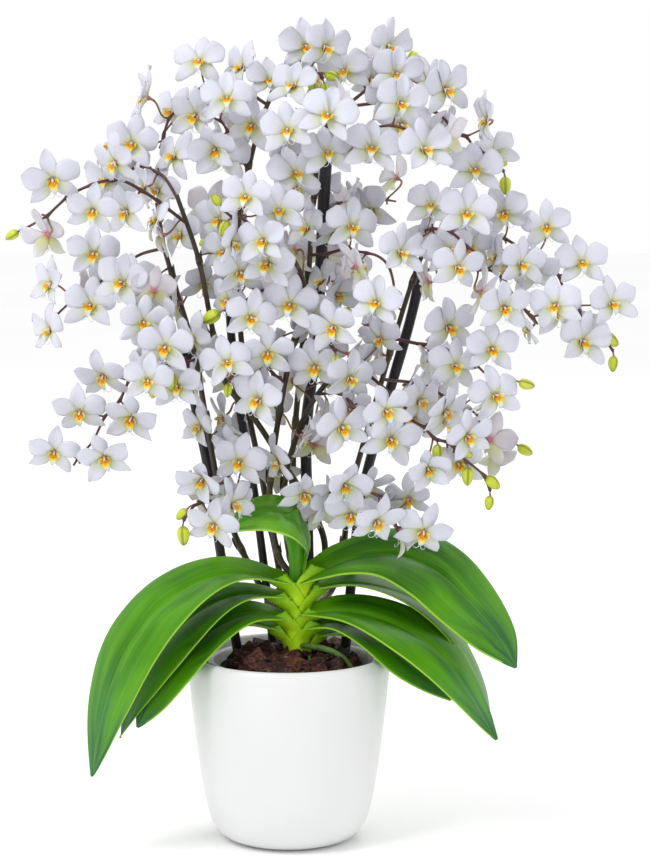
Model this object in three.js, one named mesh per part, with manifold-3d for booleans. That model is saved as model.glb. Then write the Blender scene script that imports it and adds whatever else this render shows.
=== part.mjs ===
// A many-flowered moth orchid in a white ceramic cover pot.
// Millimetres, +Z up, the viewer at -Y. The origin is the middle of the pot's flat foot.
//
// The plant is built the way it grows. A short green stem stands in bark in a clear nursery pot and carries
// two ranks of strap leaves. Seven flower spikes rise from behind the leaves, beside four dark stakes. Each
// spike carries sprays: a side branch with its pedicels, blooms and buds fused to it.
import * as THREE from "three";
import Module from "manifold-3d";
import { mergeVertices } from "three/addons/utils/BufferGeometryUtils.js";

const wasm = await Module();
wasm.setup();

// ---- driving dimensions ---------------------------------------------------------------------------------
const GAP = 0.35; // kept between neighbours that touch on the real plant

const POT = { height: 130, rim: 70, wall: 5.6, foot: 36, floor: 6, sides: 26 };
const NURSERY = { shiftX: 3, foot: 37, mouth: 56, flange: 59, top: 126, wall: 1.2, sides: 20 };
const BARK = { edge: 119, crown: 129, chips: 12, length: 22, width: 14, depth: 8, inset: 15 };
const STEM = { x: 6, foot: 120, top: 189, radius: 7.2, ridge: 1.6, leafPairs: 4.5, rings: 10, sides: 8 };
const LEAF = { thickness: 2.2, rings: 6, fold: 0.5, dome: 0.14, wave: 1.4 };
const STAKE = { sides: 5, steps: 4 };
const SPIKE = { radius: 2.0, sides: 4, steps: 8 };
const BRANCH = { radius: 1.15, sides: 4 };
const ROOT = { radius: 2.1, sides: 4, steps: 5 };
const PEDICEL = { foot: 0.75, neck: 1.2, neckBack: 2.6, sides: [-16, 90, 196] };
const BUD = { radius: 4.0, length: 11, stalk: 5, sides: 4 };

// A bloom: how deep its middle is, how far the notches between tepals reach, how closely blooms may stand,
// and how far each one stands beside and in front of its branch.
const BLOOM = { middle: 1.7, notch: 4.6, spacing: 36, aside: 15, ahead: 12, flatness: 2.2 };
const LIP = { reach: 10.5, front: 5.5, notch: 3.4, notchAngle: 17 };

// A bloom's tepals seen from the front: direction in degrees, reach, half width, how far the blade stands in
// front of the middle, and the side of the pedicel that its back runs to. Petals are broad and blunt, sepals
// pointed. No blade reaches over the next one, or the bloom would cross itself.
const TEPALS = [
  { angle: -42, reach: 20, half: 5.2, front: -0.6, corners: "pointed", side: 0 },
  { angle: 22, reach: 19.5, half: 8.2, front: 1.0, corners: "blunt", side: 0 },
  { angle: 90, reach: 18.5, half: 5.2, front: -0.6, corners: "pointed", side: 1 },
  { angle: 158, reach: 19.5, half: 8.2, front: 1.0, corners: "blunt", side: 2 },
  { angle: 222, reach: 20, half: 5.2, front: -0.6, corners: "pointed", side: 2 },
];
const BLADES = {
  pointed: [[0.62, -1], [1, 0], [0.62, 1]],
  blunt: [[0.6, -1], [0.92, -0.5], [0.92, 0.5], [0.6, 1]],
};

// Blooms look away from the middle of the crown and forwards, or backwards where they grow at its back.
const CROWN = { middle: [20, 10, 320], backAt: 75, frontAt: 10, ahead: 1.3, outward: 0.55 };
const UNEVEN = { turn: 0.4, nod: 0.16, roll: 16 };

const COLOURS = {
  ceramic: "#f1f1f0", plastic: "#c9cdcc", bark: "#4a2519", stem: "#8fc21e", leaf: "#3f8f1e",
  youngLeaf: "#6fb53a", stake: "#17141a", spike: "#3b3420", petal: "#f2f1f6", root: "#6d9a3a",
};

// ---- places ---------------------------------------------------------------------------------------------
// Leaves: the midrib's route from the stem to the tip, the blade's width, and how far it rolls to the viewer.
const LEAVES = {
  leaf_left_top: {
    width: 62, roll: 14,
    route: [
      [0, -3, 180], [-40, -16, 188], [-76, -31, 176], [-106, -46, 147], [-123, -58, 106], [-131, -66, 60],
    ],
  },
  leaf_left_second: {
    width: 54, roll: 14,
    route: [
      [1, -2, 168], [-34, -9, 172], [-64, -17, 160], [-88, -26, 137], [-105, -34, 108], [-114, -40, 80],
    ],
  },
  leaf_left_third: {
    width: 50, roll: 14,
    route: [
      [1, -3, 155], [-30, -13, 159], [-58, -25, 147], [-79, -36, 128], [-94, -45, 107], [-102, -50, 90],
    ],
  },
  leaf_left_low: {
    width: 40, roll: 6,
    route: [[2, 1, 143], [-27, 6, 149], [-54, 10, 146], [-78, 13, 134], [-94, 15, 110]],
  },
  leaf_right_top: {
    width: 68, roll: 27,
    route: [
      [9, -2, 182], [40, -8, 196], [70, -14, 201], [98, -20, 192], [121, -26, 173], [143, -32, 148],
      [155, -36, 128],
    ],
  },
  leaf_right_second: {
    width: 54, roll: 8,
    route: [
      [10, 3, 171], [42, 6, 177], [76, 9, 170], [104, 11, 154], [124, 12, 131], [137, 13, 102],
      [142, 14, 72],
    ],
  },
  leaf_right_third: {
    width: 60, roll: 15,
    route: [[10, -4, 158], [44, -14, 161], [76, -24, 153], [101, -32, 138], [121, -39, 114], [141, -45, 80]],
  },
  leaf_right_fourth: {
    width: 48, roll: 12,
    route: [[9, -3, 148], [34, -8, 152], [60, -14, 144], [84, -20, 126], [111, -26, 103]],
  },
  leaf_right_low: {
    width: 34, roll: 4,
    route: [[9, 3, 137], [32, 9, 142], [56, 15, 142], [76, 20, 134], [86, 23, 120]],
  },
  leaf_crown: {
    width: 42, roll: 30, young: true,
    route: [[8, 0, 187], [12, -7, 209], [1, -15, 227], [-20, -21, 231], [-47, -23, 219]],
  },
};

const STAKES = {
  stake_left: {
    radius: 3.5,
    route: [[-34, 29, 112], [-47, 26, 190], [-57, 16, 262], [-64, 10, 300], [-71, 6, 348], [-80, 4, 388]],
  },
  stake_middle_left: {
    radius: 3.0,
    route: [
      [-10, 37, 112], [-18, 35, 186], [-26, 27, 250], [-33, 21, 292], [-38, 15, 334], [-41, 12, 378],
      [-41, 10, 420],
    ],
  },
  stake_centre: {
    radius: 4.2,
    route: [
      [14, 33, 112], [13, 30, 208], [12, 22, 280], [17, 12, 328], [22, 5, 392], [24, 3, 440], [28, 1, 494],
    ],
  },
  stake_right: {
    radius: 3.7,
    route: [[38, 32, 112], [46, 32, 200], [52, 23, 243], [66, 13, 298], [82, 7, 355], [91, 5, 394]],
  },
};

const SPIKES = {
  spike_left: [
    [3, 5, 152], [-14, 30, 160], [-27, 38, 182], [-38, 36, 206], [-48, 18, 240], [-56, 3, 290],
    [-64, -5, 340], [-75, -8, 380], [-84, -8, 412], [-88, -8, 440],
  ],
  spike_middle_left: [
    [4, 6, 158], [-4, 30, 168], [-9, 40, 190], [-14, 30, 218], [-19, 15, 252], [-27, 8, 294], [-31, 2, 335],
    [-34, -2, 378], [-34, -5, 420], [-26, -1, 465], [-14, 4, 505], [4, 8, 536],
  ],
  spike_crossing: [
    [9, 6, 165], [22, 30, 180], [24, 26, 206], [9, 10, 240], [-5, 0, 264], [-22, -8, 292], [-44, -14, 322],
    [-52, -18, 362], [-60, -22, 404], [-74, -24, 446],
  ],
  spike_centre: [
    [7, 6, 172], [5, 36, 188], [4, 38, 215], [3, 27, 262], [5, 10, 292], [9, -2, 335], [14, -8, 392],
    [17, -11, 440], [22, -12, 480], [31, -9, 500], [44, -6, 508],
  ],
  spike_low_right: [
    [9, 4, 178], [2, 17, 190], [-2, 14, 212], [-3, 4, 245], [6, -14, 283], [20, -24, 312], [38, -31, 330],
    [56, -34, 326],
  ],
  spike_slender: [
    [3, 2, 182], [-8, 8, 199], [-13, 6, 240], [-8, -10, 285], [1, -25, 335], [9, -29, 368], [10, -31, 390],
    [4, -33, 404],
  ],
  spike_right: [
    [11, 5, 158], [29, 44, 164], [37, 44, 190], [40, 34, 215], [44, 18, 245], [57, 1, 295], [71, -9, 345],
    [83, -13, 385], [92, -13, 408], [102, -10, 420],
  ],
};

// Sprays: the spike that carries each one, its branch's route, and how many blooms and buds it has.
const SPRAYS = {
  spray_01: {
    spike: "spike_middle_left", blooms: 5, buds: 0,
    route: [[-14, 4, 505], [-33, 12, 517], [-57, 18, 517], [-77, 22, 500], [-89, 24, 476]],
  },
  spray_02: {
    spike: "spike_crossing", blooms: 4, buds: 0,
    route: [[-73, -24, 444], [-86, 2, 460], [-108, 30, 462], [-130, 48, 457]],
  },
  spray_03: {
    spike: "spike_crossing", blooms: 5, buds: 1,
    route: [[-67, -23, 428], [-98, -42, 452], [-125, -52, 456], [-148, -56, 442], [-172, -58, 424]],
  },
  spray_04: {
    spike: "spike_left", blooms: 5, buds: 0,
    route: [[-83, -8, 410], [-103, 8, 404], [-123, 18, 390], [-144, 24, 374], [-166, 26, 358]],
  },
  spray_05: {
    spike: "spike_left", blooms: 3, buds: 0,
    route: [[-75, -8, 380], [-88, -36, 384], [-104, -54, 372]],
  },
  spray_06: {
    spike: "spike_left", blooms: 6, buds: 0,
    route: [[-67, -6, 352], [-93, -22, 340], [-108, -34, 318], [-124, -42, 294], [-142, -46, 266]],
  },
  spray_07: {
    spike: "spike_crossing", blooms: 4, buds: 3,
    route: [[-45, -15, 327], [-60, -46, 337], [-74, -64, 338], [-87, -74, 330]],
  },
  spray_08: {
    spike: "spike_middle_left", blooms: 5, buds: 2,
    route: [[-19, 15, 255], [-32, -16, 262], [-45, -38, 254], [-57, -50, 244], [-70, -56, 232]],
  },
  spray_09: {
    spike: "spike_middle_left", blooms: 3, buds: 3,
    route: [[-3, 7, 526], [6, -8, 528], [14, -16, 528], [24, -20, 524]],
  },
  spray_10: {
    spike: "spike_middle_left", blooms: 4, buds: 0,
    route: [[-27, -1, 462], [-33, -20, 480], [-41, -36, 492], [-48, -46, 496]],
  },
  spray_11: {
    spike: "spike_centre", blooms: 4, buds: 0,
    route: [[17, -11, 442], [15, -38, 468], [13, -56, 490], [16, -66, 506]],
  },
  spray_12: {
    spike: "spike_slender", blooms: 4, buds: 2,
    route: [[5, -33, 403], [-9, -52, 416], [-26, -66, 430], [-42, -76, 438]],
  },
  spray_13: {
    spike: "spike_slender", blooms: 3, buds: 1,
    route: [[10, -29, 378], [-6, -44, 386], [-24, -52, 380], [-40, -54, 370]],
  },
  spray_14: {
    spike: "spike_slender", blooms: 4, buds: 1,
    route: [[-1, -22, 320], [-11, -42, 330], [-26, -54, 334], [-38, -60, 328]],
  },
  spray_15: {
    spike: "spike_centre", blooms: 4, buds: 1,
    route: [[42, -6, 507], [56, 6, 516], [68, 14, 524], [82, 18, 530]],
  },
  spray_16: {
    spike: "spike_centre", blooms: 6, buds: 2,
    route: [[36, -8, 504], [72, -14, 506], [100, -18, 499], [116, -16, 486], [132, -10, 472], [146, -6, 462]],
  },
  spray_17: {
    spike: "spike_centre", blooms: 4, buds: 0,
    route: [[20, -12, 466], [38, -38, 486], [59, -56, 492], [80, -66, 490], [97, -68, 486]],
  },
  spray_18: {
    spike: "spike_centre", blooms: 4, buds: 0,
    route: [[16, -10, 430], [34, 22, 438], [52, 50, 440], [74, 70, 436]],
  },
  spray_19: {
    spike: "spike_right", blooms: 4, buds: 0,
    route: [[93, -13, 410], [92, -44, 424], [104, -62, 424], [124, -68, 412]],
  },
  spray_20: {
    spike: "spike_right", blooms: 8, buds: 2,
    route: [
      [100, -10, 419], [128, -10, 418], [152, -12, 413], [174, -14, 400], [188, -16, 380], [202, -18, 359],
      [220, -20, 342],
    ],
  },
  spray_21: {
    spike: "spike_right", blooms: 5, buds: 0,
    route: [[85, -13, 392], [111, -36, 400], [135, -52, 396], [150, -58, 382], [164, -60, 362]],
  },
  spray_22: {
    spike: "spike_centre", blooms: 4, buds: 0,
    route: [[15, -8, 404], [39, -36, 410], [59, -56, 408], [69, -68, 394], [73, -74, 374]],
  },
  spray_23: {
    spike: "spike_centre", blooms: 3, buds: 1,
    route: [[10, -2, 342], [22, -38, 350], [32, -58, 346]],
  },
  spray_24: {
    spike: "spike_right", blooms: 4, buds: 1,
    route: [[72, -9, 348], [104, -30, 344], [121, -44, 336], [134, -52, 328], [149, -54, 323]],
  },
  spray_25: {
    spike: "spike_right", blooms: 5, buds: 1,
    route: [[64, -4, 320], [92, 18, 314], [116, 34, 300], [138, 44, 286], [156, 48, 268]],
  },
  spray_26: {
    spike: "spike_low_right", blooms: 5, buds: 5,
    route: [
      [54, -34, 327], [72, -46, 312], [86, -54, 296], [104, -58, 284], [122, -58, 270], [136, -54, 252],
    ],
  },
  spray_27: {
    spike: "spike_low_right", blooms: 3, buds: 0,
    route: [[20, -23, 312], [34, -50, 316], [46, -66, 308], [58, -76, 296]],
  },
  spray_28: {
    spike: "spike_crossing", blooms: 4, buds: 0,
    route: [[13, 13, 230], [22, -12, 240], [36, -34, 250], [52, -48, 250], [66, -54, 248]],
  },
  spray_29: {
    spike: "spike_right", blooms: 3, buds: 0,
    route: [[42, 24, 236], [58, -8, 244], [68, -28, 234], [74, -42, 216]],
  },
  spray_30: {
    spike: "spike_middle_left", blooms: 4, buds: 1,
    route: [[-34, -5, 415], [-30, 30, 428], [-36, 60, 426], [-52, 80, 412]],
  },
  spray_31: {
    spike: "spike_centre", blooms: 4, buds: 1,
    route: [[13, -6, 380], [10, 30, 386], [22, 62, 382], [42, 82, 366]],
  },
};
const AERIAL_ROOT = [[8, -6, 136], [18, -20, 138], [30, -26, 136], [39, -26, 130], [43, -25, 124]];

// ---- small helpers --------------------------------------------------------------------------------------
const vec = (p) => new THREE.Vector3(...p);
const curveThrough = (route) => new THREE.CatmullRomCurve3(route.map(vec), false, "catmullrom", 0.5);
const smoothStep = (s) => s * s * (3 - 2 * s);
const clamp01 = (s) => Math.min(1, Math.max(0, s));

// The same draw every time: a number from 0 to 1 for each pair of whole numbers.
function draw(a, b) {
  const wave = Math.sin(a * 127.1 + b * 311.7) * 43758.5453;
  return wave - Math.floor(wave);
}

function solidOf(geometry) {
  const bare = new THREE.BufferGeometry();
  bare.setAttribute("position", geometry.getAttribute("position").clone());
  if (geometry.index) bare.setIndex(geometry.index.clone());
  const merged = mergeVertices(bare, 1e-4);
  const corners = merged.index.array;
  const triVerts = [];
  for (let i = 0; i < corners.length; i += 3) {
    const [a, b, c] = corners.subarray(i, i + 3);
    if (a !== b && b !== c && c !== a) triVerts.push(a, b, c);
  }
  const mesh = new wasm.Mesh({
    numProp: 3,
    vertProperties: merged.attributes.position.array,
    triVerts: new Uint32Array(triVerts),
  });
  return new wasm.Manifold(mesh);
}

function geometryOf(solid) {
  const mesh = solid.getMesh();
  const geometry = new THREE.BufferGeometry();
  geometry.setAttribute("position", new THREE.BufferAttribute(mesh.vertProperties, 3));
  geometry.setIndex(new THREE.BufferAttribute(mesh.triVerts, 1));
  geometry.computeVertexNormals();
  return geometry;
}

// The biggest body of a solid: scraps that a cut leaves loose are dropped.
function mainBody(solid) {
  return solid.decompose().reduce((best, body) => (body.volume() > best.volume() ? body : best));
}

// A tube along a route, as an extruded polygon with straight steps of one length.
function tube(curve, radius, { sides, steps }) {
  const corners = [];
  for (let i = 0; i < sides; i++) {
    const angle = (2 * Math.PI * i) / sides;
    corners.push(new THREE.Vector2(radius * Math.cos(angle), radius * Math.sin(angle)));
  }
  const section = new THREE.Shape(corners);
  return solidOf(new THREE.ExtrudeGeometry(section, { steps, extrudePath: curve, bevelEnabled: false }));
}

// A geometry whose own +Y lies along the given direction, moved to the given place.
function aim(geometry, direction, place) {
  const turn = new THREE.Quaternion().setFromUnitVectors(new THREE.Vector3(0, 1, 0), direction);
  return geometry.applyQuaternion(turn).translate(place.x, place.y, place.z);
}

// A turned form: the outline is [radius, height] from the axis round to the axis.
function turned(outline, sides) {
  const points = outline.map(([r, z]) => new THREE.Vector2(r, z));
  return solidOf(new THREE.LatheGeometry(points, sides).rotateX(Math.PI / 2));
}

// ---- pots and bark --------------------------------------------------------------------------------------
function coverPot() {
  const { height, rim, wall, foot, floor, sides } = POT;
  const outside = [
    [0, 0], [foot, 0], [foot + 9, 2.2], [foot + 16.5, 7.5], [foot + 21, 16], [foot + 23.4, 30],
    [rim - 6.4, 62], [rim - 2.2, 98], [rim, height - 7], [rim - 0.8, height - 2.2], [rim - 2.8, height],
  ];
  const inside = [
    [rim - wall + 0.6, height - 0.6], [rim - wall, height - 4], [rim - wall - 2.6, 98],
    [foot + 18, 34], [foot + 13, 14], [foot + 4, floor], [0, floor],
  ];
  return turned([...outside, ...inside], sides);
}

function nurseryPot() {
  const { shiftX, foot, mouth, flange, top, wall, sides } = NURSERY;
  const base = POT.floor + GAP;
  const lip = [[mouth, top - 3], [flange, top - 1.6], [flange, top]];
  const outside = [[0, base], [foot - 2, base], [foot, base + 2], ...lip];
  const floor = [[foot - wall - 1.6, base + wall], [0, base + wall]];
  const inside = [[mouth - wall, top - 0.4], [foot - wall, base + 2.4], ...floor];
  return turned([...outside, ...inside], sides).translate([shiftX, 0, 0]);
}

// Chunks of bark lie on the heap like the seeds of a head, each turned its own way.
function barkHeap() {
  const { edge, crown, chips, length, width, depth, inset } = BARK;
  const base = POT.floor + GAP + NURSERY.wall + GAP;
  const foot = NURSERY.foot - NURSERY.wall - GAP;
  const rim = NURSERY.mouth - NURSERY.wall - 1.3;
  const goldenAngle = Math.PI * (3 - Math.sqrt(5));
  const body = [[0, base], [foot - 2, base], [foot - 0.6, base + 3], [rim, edge]];
  const parts = [turned([...body, [0.6 * rim, edge + 5], [0, crown]], NURSERY.sides)];
  for (let i = 0; i < chips; i++) {
    const radius = (rim - inset) * Math.sqrt((i + 0.5) / chips);
    const size = 0.8 + 0.4 * draw(i, 1);
    const chip = new THREE.BoxGeometry(length * size, width * size, depth * size);
    chip.rotateX(0.8 * (draw(i, 2) - 0.5));
    chip.rotateY(0.8 * (draw(i, 3) - 0.5));
    chip.rotateZ(2 * Math.PI * draw(i, 4));
    const level = crown - (crown - edge) * (radius / rim) ** 1.6;
    chip.translate(radius * Math.cos(i * goldenAngle), radius * Math.sin(i * goldenAngle), level + 0.4);
    parts.push(solidOf(chip));
  }
  return wasm.Manifold.union(parts).translate([NURSERY.shiftX, 0, 0]);
}

// ---- stem, leaves and roots -----------------------------------------------------------------------------
// The stem is swollen where each pair of leaf bases clasps it, and ends in a blunt growing point.
function plantStem(grow) {
  const { x, foot, top, radius, ridge, leafPairs, rings, sides } = STEM;
  const outline = [[0, foot - grow]];
  for (let i = 0; i <= rings; i++) {
    const t = i / rings;
    const swell = ridge * Math.abs(Math.sin(Math.PI * leafPairs * t));
    const blunt = 1 - 0.5 * clamp01((t - 0.85) / 0.15) ** 2;
    outline.push([(radius + swell) * blunt + grow, foot - grow + (top - foot + 2 * grow) * t]);
  }
  outline.push([0, top + 1.5 + grow]);
  return turned(outline, sides).translate([x, 0, 0]);
}

// A strap leaf's width along its length as a share of the widest: a clasping base, the widest stretch past
// the middle, and a blunt point.
function leafShare(t) {
  const base = 0.42 + 0.58 * smoothStep(clamp01(t / 0.5));
  const tip = clamp01((t - 0.55) / 0.45);
  return base * (1 - tip ** 2.3) ** 0.8 + 0.02;
}

// A leaf is a thin board, bent along the midrib's route. It is folded along the midrib near its base and
// flattens out towards the tip, and its edges wave a little. Both faces are split into triangles alike.
function leaf({ route, width, roll }, number, grow) {
  const { thickness, rings, fold, dome, wave } = LEAF;
  const curve = curveThrough(route);
  const heading = vec(route.at(-1)).sub(vec(route[0])).setZ(0).normalize();
  const flat = heading.clone().cross(new THREE.Vector3(0, 0, 1));
  const lean = Math.sign(flat.y) * THREE.MathUtils.degToRad(roll);
  const board = new THREE.BoxGeometry(2, 1, 1, 4, rings, 1);
  const corner = board.getAttribute("position");
  for (let i = 0; i < corner.count; i++) {
    const v = corner.getX(i);
    const t = corner.getY(i) + 0.5;
    const along = curve.getTangent(t);
    const side = flat.clone().addScaledVector(along, -flat.dot(along)).normalize();
    const face = side.clone().cross(along);
    const across = side.clone().multiplyScalar(Math.cos(lean)).addScaledVector(face, Math.sin(lean));
    const up = face.multiplyScalar(Math.cos(lean)).addScaledVector(side, -Math.sin(lean));
    const half = (width / 2) * leafShare(t) + grow;
    const ripple = wave * v * v * Math.sin(7 * t + 2.4 * number + v);
    const lift = half * (fold * (1 - t) ** 2 * Math.abs(v) - dome * v * v) + ripple;
    const skin = corner.getZ(i) * (thickness * (1 - 0.45 * v * v) + 2 * grow);
    const point = curve.getPoint(t).addScaledVector(across, v * half).addScaledVector(up, lift + skin);
    corner.setXYZ(i, point.x, point.y, point.z);
  }
  return solidOf(splitAlike(board));
}

// Turns the diagonals of a board's lower face, so that they lie under those of its upper face.
function splitAlike(board) {
  const index = board.index;
  const lower = board.groups.at(-1);
  for (let i = lower.start; i < lower.start + lower.count; i += 6) {
    const [a, b, d] = [index.getX(i), index.getX(i + 1), index.getX(i + 2)];
    const c = index.getX(i + 4);
    [a, b, c, a, c, d].forEach((value, k) => index.setX(i + k, value));
  }
  return board;
}

// ---- blooms and buds ------------------------------------------------------------------------------------
// A corner of the star: its place as [right, up, front], and the side of the pedicel that its back runs to.
function starCorner(out, degrees, front, side) {
  const turn = THREE.MathUtils.degToRad(degrees);
  return { spot: [out * Math.cos(turn), out * Math.sin(turn), front], side };
}

// The direction in which one side of a tepal is widest.
function shoulderAngle({ angle, reach, half, corners }, edge) {
  const [out] = BLADES[corners][0];
  return angle + edge * THREE.MathUtils.radToDeg(Math.atan2(half, out * reach));
}

// The star that a bloom's tepals and lip make, counterclockwise as seen from the front.
function bloomOutline(grow) {
  const outline = [];
  TEPALS.forEach((tepal, k) => {
    const { angle, reach, half, front, corners, side } = tepal;
    for (const [out, aside] of BLADES[corners]) {
      const x = out * (reach + 4 * grow);
      const y = aside * (half + grow);
      const turn = angle + THREE.MathUtils.radToDeg(Math.atan2(y, x));
      outline.push(starCorner(Math.hypot(x, y), turn, front * out, side));
    }
    const next = TEPALS[k + 1];
    if (!next) return;
    const between = (shoulderAngle(tepal, 1) + shoulderAngle(next, -1)) / 2;
    outline.push(starCorner(BLOOM.notch + grow, between, 0, side));
  });
  outline.push(starCorner(LIP.notch + grow, 270 - LIP.notchAngle, 0, 2));
  outline.push(starCorner(LIP.reach + 2 * grow, 270, LIP.front + grow, 2));
  outline.push(starCorner(LIP.notch + grow, 270 + LIP.notchAngle, 0, 2));
  return outline;
}

// A bloom and its pedicel are one ball whose rings are drawn out: the front pole is the middle of the flower,
// the first ring its outline, and the next two, gathered to three corners, the pedicel's neck and foot.
function bloom({ node, place, right, up, facing }, grow) {
  const outline = bloomOutline(grow);
  const ball = new THREE.SphereGeometry(1, outline.length, 4);
  const stand = new THREE.Matrix4().makeBasis(right, up, facing).setPosition(place);
  const foot = node.clone().applyMatrix4(stand.clone().invert());
  const neckBack = -PEDICEL.neckBack - grow;
  const corner = ball.getAttribute("position");
  const columns = outline.length + 1;
  for (let i = 0; i < corner.count; i++) {
    const ring = Math.floor(i / columns);
    const column = (i % columns) % outline.length;
    const turn = THREE.MathUtils.degToRad(PEDICEL.sides[outline[column].side]);
    const neck = PEDICEL.neck + grow;
    const heel = PEDICEL.foot + grow;
    const spots = [
      [0, 0, BLOOM.middle + 1.5 * grow],
      outline[column].spot,
      [neck * Math.cos(turn), neck * Math.sin(turn), neckBack],
      [foot.x + heel * Math.cos(turn), foot.y + heel * Math.sin(turn), foot.z],
      foot.toArray(),
    ];
    corner.setXYZ(i, ...spots[ring]);
  }
  return solidOf(ball.applyMatrix4(stand));
}

// A bud with its stalk, turned about the way it points.
function bud({ node, pointing }, grow) {
  const { radius, length, stalk, sides } = BUD;
  const outline = [[0, 0], [0.8 + grow, 0], [0.9 + grow, stalk], [radius + grow, stalk + 0.5 * length]];
  const points = [...outline, [0, stalk + length + 2 * grow]].map(([r, y]) => new THREE.Vector2(r, y));
  return solidOf(aim(new THREE.LatheGeometry(points, sides), pointing, node));
}

// ---- where the blooms go --------------------------------------------------------------------------------
const spikeCurves = {};
for (const [name, route] of Object.entries(SPIKES)) spikeCurves[name] = curveThrough(route);

// A branch starts at the point of its spike that is nearest to the start of its route.
function branchCurve({ spike, route }) {
  const start = vec(route[0]);
  const samples = spikeCurves[spike].getPoints(200);
  const foot = samples.reduce((best, p) => (p.distanceTo(start) < best.distanceTo(start) ? p : best));
  return curveThrough([foot.toArray(), ...route.slice(1)]);
}

// The way a flower at this place looks.
function facingAt(place, number) {
  const outward = place.clone().sub(vec(CROWN.middle)).normalize().multiplyScalar(CROWN.outward);
  const front = smoothStep(clamp01((CROWN.backAt - place.y) / (CROWN.backAt - CROWN.frontAt)));
  const facing = outward.add(new THREE.Vector3(0, CROWN.ahead * (1 - 2 * front), -UNEVEN.nod));
  facing.x += UNEVEN.turn * (2 * draw(number, 11) - 1);
  facing.y += UNEVEN.turn * (draw(number, 12) - 0.5);
  facing.z += UNEVEN.turn * (draw(number, 13) - 0.5);
  return facing.normalize();
}

// A branch bends at as many places as its route names.
const branchSteps = ({ route }) => route.length - 1;

// The point a share of the way along a tube's straight steps, and the way the step points.
function alongSteps(curve, steps, share) {
  const stops = curve.getSpacedPoints(steps);
  const k = Math.min(steps - 1, Math.floor(share * steps));
  const point = stops[k].clone().lerp(stops[k + 1], share * steps - k);
  return { point, heading: stops[k + 1].clone().sub(stops[k]).normalize() };
}

// Blooms alternate along the outer stretch of a branch, and buds along its tip.
function flowersOf(spray, curve, firstNumber) {
  const flowers = [];
  const total = spray.blooms + spray.buds;
  for (let k = 0; k < total; k++) {
    const isBud = k >= spray.blooms;
    const number = firstNumber + k;
    const bloomEnd = 1 - 0.07 * spray.buds;
    const t = isBud ? 1 - 0.11 * (total - 1 - k) : 0.24 + ((bloomEnd - 0.24) * (k + 0.6)) / spray.blooms;
    const { point: node, heading } = alongSteps(curve, branchSteps(spray), t);
    const facing = facingAt(node, number);
    const side = heading.clone().cross(facing).normalize().multiplyScalar(k % 2 ? 1 : -1);
    if (isBud) {
      const pointing = heading.clone().multiplyScalar(0.7).add(side);
      pointing.z -= 0.5;
      flowers.push({ isBud, node, pointing: pointing.normalize() });
      continue;
    }
    const place = node.clone().addScaledVector(side, BLOOM.aside).addScaledVector(facing, BLOOM.ahead);
    flowers.push({ isBud, node, place, home: place.clone(), facing, number });
  }
  return flowers;
}

// How far apart two blooms stand: a step along the way they face counts for more than one beside them.
function apartness(step, facing) {
  const deep = step.dot(facing);
  return Math.sqrt(step.lengthSq() + (BLOOM.flatness ** 2 - 1) * deep * deep);
}

// Blooms give way to each other and to the stems until they stand clear, and hang back towards their places.
function settle(blooms, stems) {
  const rounds = 60;
  const stemRoom = 13;
  for (let round = 0; round < rounds; round++) {
    for (let i = 0; i < blooms.length; i++) {
      for (let j = i + 1; j < blooms.length; j++) {
        const step = blooms[j].place.clone().sub(blooms[i].place);
        if (step.lengthSq() > BLOOM.spacing ** 2) continue;
        const apart = apartness(step, blooms[i].facing.clone().add(blooms[j].facing).normalize());
        if (apart >= BLOOM.spacing) continue;
        step.multiplyScalar((0.3 * (BLOOM.spacing - apart)) / (step.length() + 0.01));
        blooms[i].place.sub(step);
        blooms[j].place.add(step);
      }
    }
    for (const flower of blooms) {
      for (const point of stems) {
        const step = flower.place.clone().sub(point);
        const length = step.length() + 0.01;
        if (length < stemRoom) flower.place.addScaledVector(step, (0.5 * (stemRoom - length)) / length);
      }
      flower.place.addScaledVector(flower.home.clone().sub(flower.place), 0.06);
    }
  }
}

function standUpright(flower) {
  const turn = THREE.MathUtils.degToRad(UNEVEN.roll * (2 * draw(flower.number, 14) - 1));
  const { facing } = flower;
  const level = new THREE.Vector3(0, 0, 1).cross(facing).normalize();
  const upright = facing.clone().cross(level);
  flower.up = upright.clone().multiplyScalar(Math.cos(turn)).addScaledVector(level, Math.sin(turn));
  flower.right = flower.up.clone().cross(facing);
}

const branches = {};
const flowers = {};
let flowerNumber = 0;
for (const [name, spray] of Object.entries(SPRAYS)) {
  branches[name] = branchCurve(spray);
  flowers[name] = flowersOf(spray, branches[name], flowerNumber);
  flowerNumber += spray.blooms + spray.buds;
}
const allBlooms = Object.values(flowers).flat().filter((flower) => !flower.isBud);
const stemRoutes = [...Object.values(STAKES).map(({ route }) => route), ...Object.values(SPIKES)];
settle(allBlooms, stemRoutes.flatMap((route) => curveThrough(route).getPoints(30)));
allBlooms.forEach(standUpright);

// One spray as a single body: the branch with every pedicel, bloom and bud sunk into it.
function sprayBody(name, grow) {
  const steps = branchSteps(SPRAYS[name]);
  const parts = [tube(branches[name], BRANCH.radius + grow, { sides: BRANCH.sides, steps })];
  for (const flower of flowers[name]) parts.push(flower.isBud ? bud(flower, grow) : bloom(flower, grow));
  return wasm.Manifold.union(parts);
}

// ---- the plant put together -----------------------------------------------------------------------------
// Each piece is made twice: as itself, and grown by the gap that its later neighbours keep from it.
const pieces = [];
function addPiece(name, colour, roughness, make) {
  pieces.push({ name, colour, roughness, body: make(0), grown: make(GAP) });
}

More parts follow.
